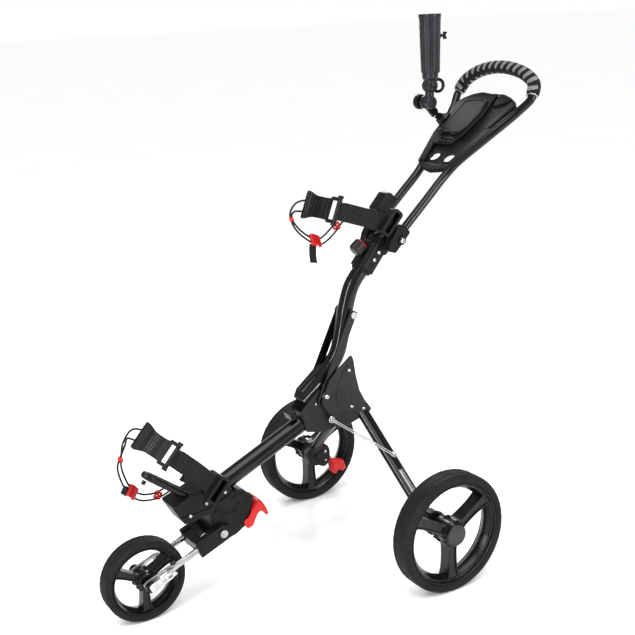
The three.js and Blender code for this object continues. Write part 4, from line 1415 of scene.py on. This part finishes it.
def open_patch(rows):
    """A thin curved patch, closed underneath so that it is a solid."""
    count = len(rows[0])
    top = [p for row in rows for p in row]
    middle = sum(top, Vector()) / len(top)
    under = [p + (middle - p) * 0.04 for p in top]
    faces = []
    size = len(top)
    for i in range(len(rows) - 1):
        for j in range(count - 1):
            a, b = i * count + j, i * count + j + 1
            c, d = b + count, a + count
            faces.append((a, b, c, d))
            faces.append((size + d, size + c, size + b, size + a))
    rim = [j for j in range(count)] + [i * count + count - 1 for i in range(1, len(rows))]
    rim += [size - 1 - j for j in range(1, count)] + [i * count for i in range(len(rows) - 2, 0, -1)]
    for a, b in zip(rim, rim[1:] + rim[:1]):
        faces.append((b, a, size + a, size + b))
    return top + under, faces


def on_console(outline, low, high, bevel=1.5, fillet=4.0):
    """An outline of (x, along the arms), thickened between two heights above the arms' plane."""
    return slab(outline, (0, *ARMS_START), (1, 0, 0), (0, *HANDLE_SLOPE), low, high, bevel, fillet)


def inside_arm(u):
    return 52 + 0.332 * u - HANDLE_RADIUS - 3


def mirrored_outline(half):
    return half + [(-x, u) for x, u in reversed(half) if x]


def add_console():
    half = [(0, -20), (30, -14), (64, -2), (97, 100), (100, 132), (inside_arm(137), 137),
            (inside_arm(215), 215), (92, 232), (70, 243), (40, 252), (0, 256)]
    plate = on_console(mirrored_outline(half), 0, 5, 2.2, 7)
    wings = []
    for sign in (-1, 1):
        rail = [(sign * 64, -1), (sign * 97, 100), (sign * 100, 131), (sign * 80, 134), (sign * 76, 110),
                (sign * 45, 12)]
        upper = [(sign * 84, 128), (sign * (inside_arm(215) - 1), 214), (sign * 94, 228), (sign * 86, 214),
                 (sign * 70, 130)]
        wings += [on_console(rail, 3, 13, 4, 8), on_console(upper, 3, 12, 3.4, 6)]
    left = on_console([(-78, 60), (-52, 66), (0, 70), (16, 100), (27, 176), (18, 246), (-40, 252),
                       (-70, 243),
                       (-96, 226), (-98, 200), (-80, 96)], 3, 12.8, 3.6, 9)
    nose = on_console([(-58, -2), (-28, -13), (0, -18), (28, -13), (58, -2), (52, 8), (0, 2), (-52, 8)],
                      3, 9.5, 2.6, 6)
    lips = [on_console([(34, 205), (80, 232), (70, 242), (40, 251), (22, 252)], 3, 10, 3, 7)]
    holes = []
    for sign in (-1, 1):
        oval = [(sign * 27 + 18 * math.cos(t * math.pi / 16), 31 + 14 * math.sin(t * math.pi / 16))
                for t in range(32)]
        holes.append(on_console(oval, -20, 30, 0, 0))
    piece("console_moulding", "handle", "plastic", [plate], ["console"], holes=holes)
    piece("console_wings", "handle", "plastic", [*wings, left, nose, *lips])
    rims = []
    for sign in (-1, 1):
        ring = [Vector((sign * 27 + 18.8 * math.cos(t * math.pi / 16),
                        *along_arm(31 + 14.8 * math.sin(t * math.pi / 16), 5.2))) for t in range(32)]
        rims.append(sweep(ring, circle(1.5, 10), closed=True))
    slots = [on_console([(-52, u), (-6, u), (-6, u + 4.4), (-52, u + 4.4)], 12, 14.6, 1.2, 2)
             for u in (74, 83)]
    studs = [rod((sign * x, *along_arm(u, -5)), (sign * x, *along_arm(u, -10)), 5, bevel=1.4)
             for sign in (-1, 1) for x, u in ((60, 40), (72, 150))]
    piece("console_rims", "handle", "satin", [*rims, *slots, *studs])
    lid = [on_console([(-76, 101), (6, 103), (17, 122), (22, 176), (10, 221), (-34, 223), (-74, 216)],
                      13.4, 17, 1.6, 7)]
    border = [(-70, 106), (2, 108), (12, 124), (17, 174), (6, 216), (-34, 218), (-68, 211)]
    path = [Vector((x, *along_arm(u, 17))) for x, u in rounded(border, 8, 5)]
    lid.append(sweep(path, circle(0.9, 8), closed=True))
    for x in (-58, -12):
        lid.append(rod((x - 7, *along_arm(100, 15)), (x + 7, *along_arm(100, 15)), 2.6))
    piece("score_card_lid", "score_clip", "plastic", lid, ["score_clip"])


add_grip()
add_console()

# ---------- umbrella holder ----------


def add_umbrella_holder():
    x, y = UMBRELLA
    sides = 120
    rings = []
    profile = [(1158, 20), (1158.6, 22.6), (1161, 23.6), (1166, 23.9), (1292, 27.6), (1294, 28.2),
               (1300, 28.5),
               (1302, 27.6), (1301.6, 24.5), (1296, 22.6), (1172, 19.6), (1170, 18), (1170, 0.3),
               (1158, 0.3)]
    for z, radius in profile:
        ribbed = 1166 <= z <= 1292
        ring = []
        for k in range(sides):
            angle = 2 * math.pi * k / sides
            wave = 0.75 * abs(math.cos(6 * angle)) ** 3 if ribbed and radius > 23 else 0.0
            r = radius - wave
            ring.append(Vector((x + r * math.cos(angle), y + r * math.sin(angle), z)))
        rings.append(ring)
    shells = [skin(rings, loop=True)]
    centre = Vector((x, y - 8, 1086))
    shells.append(lathe([(0, -17), (11, -17), (13.4, -15), (13.4, -5), (11.6, -3.6), (11.6, 2), (13.4, 3.6),
                         (13.4, 8.6), (11.4, 10.4), (0, 10.4)], centre, (1, 0, 0), 48))
    shells.append(lathe([(0, 0), (13, 0), (14, 5), (11.4, 9), (11.4, 24), (15, 28), (15.6, 44), (15.6, 52),
                         (19.4, 56), (20, 62), (20, 74), (0, 76)], (x, y - 5, 1088), (0, 0.06, 1), 56))
    for shift in (-14, -4.5, 5):
        shells.append(rod((x + shift, y - 2, 1127), (x + shift + 8, y - 2, 1127), 16, bevel=2))
    for shift in (-17, 8):
        shells.append(rod((x + shift, y - 8, 1086), (x + shift + 8, y - 8, 1086), 16, bevel=2))
    for side in (-1, 1):
        shells.append(rod((x + 15 * side, y - 2, 1130), (x + 19 * side, y - 2, 1130), 8, bevel=1.6))
    piece("umbrella_holder_tube", "umbrella_tube", "charcoal", shells, ["umbrella_tube"])
    cam = [Vector((x + 2, y + 22 + 17 * math.cos(t * math.pi / 16), 1126 + 15 * math.sin(t * math.pi / 16)))
           for t in range(32)]
    piece("umbrella_cam_lever", "umbrella_tube", "satin",
          [sweep(cam, circle(4.2, 14), closed=True)])
    turned = Vector((x - 26.5, y - 8, 1086))
    knob = [lathe([(0, 0), (15, 0), (17.6, 2), (18.4, 5), (18.4, 12), (17, 15), (11, 17.2),
                   (0, 17.2)], turned,
                  (-1, 0, 0), 64)]
    for k in range(20):
        angle = 2 * math.pi * k / 20
        edge = turned + Vector((0, math.cos(angle), math.sin(angle))) * 17.9
        knob.append(rod(edge - Vector((3, 0, 0)), edge - Vector((14, 0, 0)), 1.5, segments=10))
    piece("umbrella_knob_ridged", "umbrella_knob", "plastic", knob, ["umbrella_knob"])
    screw_shells = [rod((x, y + 22, 1248), (x, y + 46, 1248), 3.2, segments=24),
                    lathe([(0, 0), (6.4, 0), (6.8, 2), (5.4, 7), (0, 8)], (x, y + 27, 1248), (0, 1, 0), 32)]
    wing = slab([(-10, 42), (10, 42), (8, 55), (2, 50), (-2, 50), (-8, 55)], (x - 2, y, 1248), (0, 0, 1),
                (0, 1, 0), -4, 0, 1, 3)
    piece("umbrella_thumb_screw", "umbrella_screw", "satin", screw_shells + [wing],
          ["umbrella_screw"])


add_umbrella_holder()

# ---------- every CAD node that keeps its own shape ----------

FINISHES = {
    "silver": ("silver", ["rear_axle_left", "rear_axle_right", "fork_pivot_bolt", "mast_pivot_bolt",
                          "brace_wing_bolt"]),
    "black_tube": ("paint", ["brace_left", "brace_right"]),
    "cover_plastic": ("cover", ["centre_bracket"]),
    "black_plastic": ("plastic", ["front_axle", "fork_yoke", "umbrella_bracket"]),
}


def finish_plain_nodes():
    for slot, (material, nodes) in FINISHES.items():
        for node in nodes:
            refined(node, material)


finish_plain_nodes()

# ---------- studio ----------


def add_world():
    """White behind the object, and a dimmer even light on it."""
    world = bpy.data.worlds.new("studio")
    bpy.context.scene.world = world
    world.use_nodes = True
    tree = world.node_tree
    fill = tree.nodes["Background"]
    fill.inputs["Color"].default_value = (0.96, 0.98, 1.0, 1)
    fill.inputs["Strength"].default_value = 0.4
    backdrop = tree.nodes.new("ShaderNodeBackground")
    backdrop.inputs["Color"].default_value = (1, 1, 1, 1)
    backdrop.inputs["Strength"].default_value = 1.0
    path = tree.nodes.new("ShaderNodeLightPath")
    mix = tree.nodes.new("ShaderNodeMixShader")
    tree.links.new(path.outputs["Is Camera Ray"], mix.inputs["Fac"])
    tree.links.new(fill.outputs["Background"], mix.inputs[1])
    tree.links.new(backdrop.outputs["Background"], mix.inputs[2])
    tree.links.new(mix.outputs["Shader"], tree.nodes["World Output"].inputs["Surface"])


def add_floor():
    mesh = bpy.data.meshes.new("floor")
    mesh.from_pydata([(-60, -60, 0), (60, -60, 0), (60, 60, 0), (-60, 60, 0)], [], [(0, 1, 2, 3)])
    floor = bpy.data.objects.new("floor", mesh)
    bpy.context.scene.collection.objects.link(floor)
    pale = Surface("pale_floor", 0.7, Specular_IOR_Level=0.2)
    pale.colours(pale.noise(1.5, 3), (0.925, 0.925, 0.925), (0.94, 0.94, 0.94))
    pale.uneven(pale.noise(9, 3), 0.05)
    mesh.materials.append(pale.material)


def aim(lamp, where, target):
    lamp.location = where
    lamp.rotation_mode = "QUATERNION"
    lamp.rotation_quaternion = (Vector(target) - Vector(where)).to_track_quat("-Z", "Y")
    bpy.context.scene.collection.objects.link(lamp)


def add_lights():
    overhead = bpy.data.lights.new("overhead", "SUN")
    overhead.angle = math.radians(50)
    overhead.energy = 2.3
    aim(bpy.data.objects.new("overhead", overhead), (1.0, -0.6, 4), (0, 0, 0))
    strips = [
        ("strip_front", (1.2, -3.0, 1.9), (0, -0.1, 0.7), 0.45, 2.6, 90),
        ("strip_right", (3.2, 1.3, 1.9), (0, 0.1, 0.6), 0.5, 2.6, 90),
        ("strip_back", (-2.6, 1.6, 2.2), (0, 0.1, 0.6), 0.6, 2.4, 60),
    ]
    for name, where, target, width, height, power in strips:
        data = bpy.data.lights.new(name, "AREA")
        data.shape = "RECTANGLE"
        data.size, data.size_y = width, height
        data.energy = power
        aim(bpy.data.objects.new(name, data), where, target)


def add_studio():
    bpy.context.scene.view_settings.view_transform = "Standard"
    add_world()
    add_floor()
    add_lights()


add_studio()
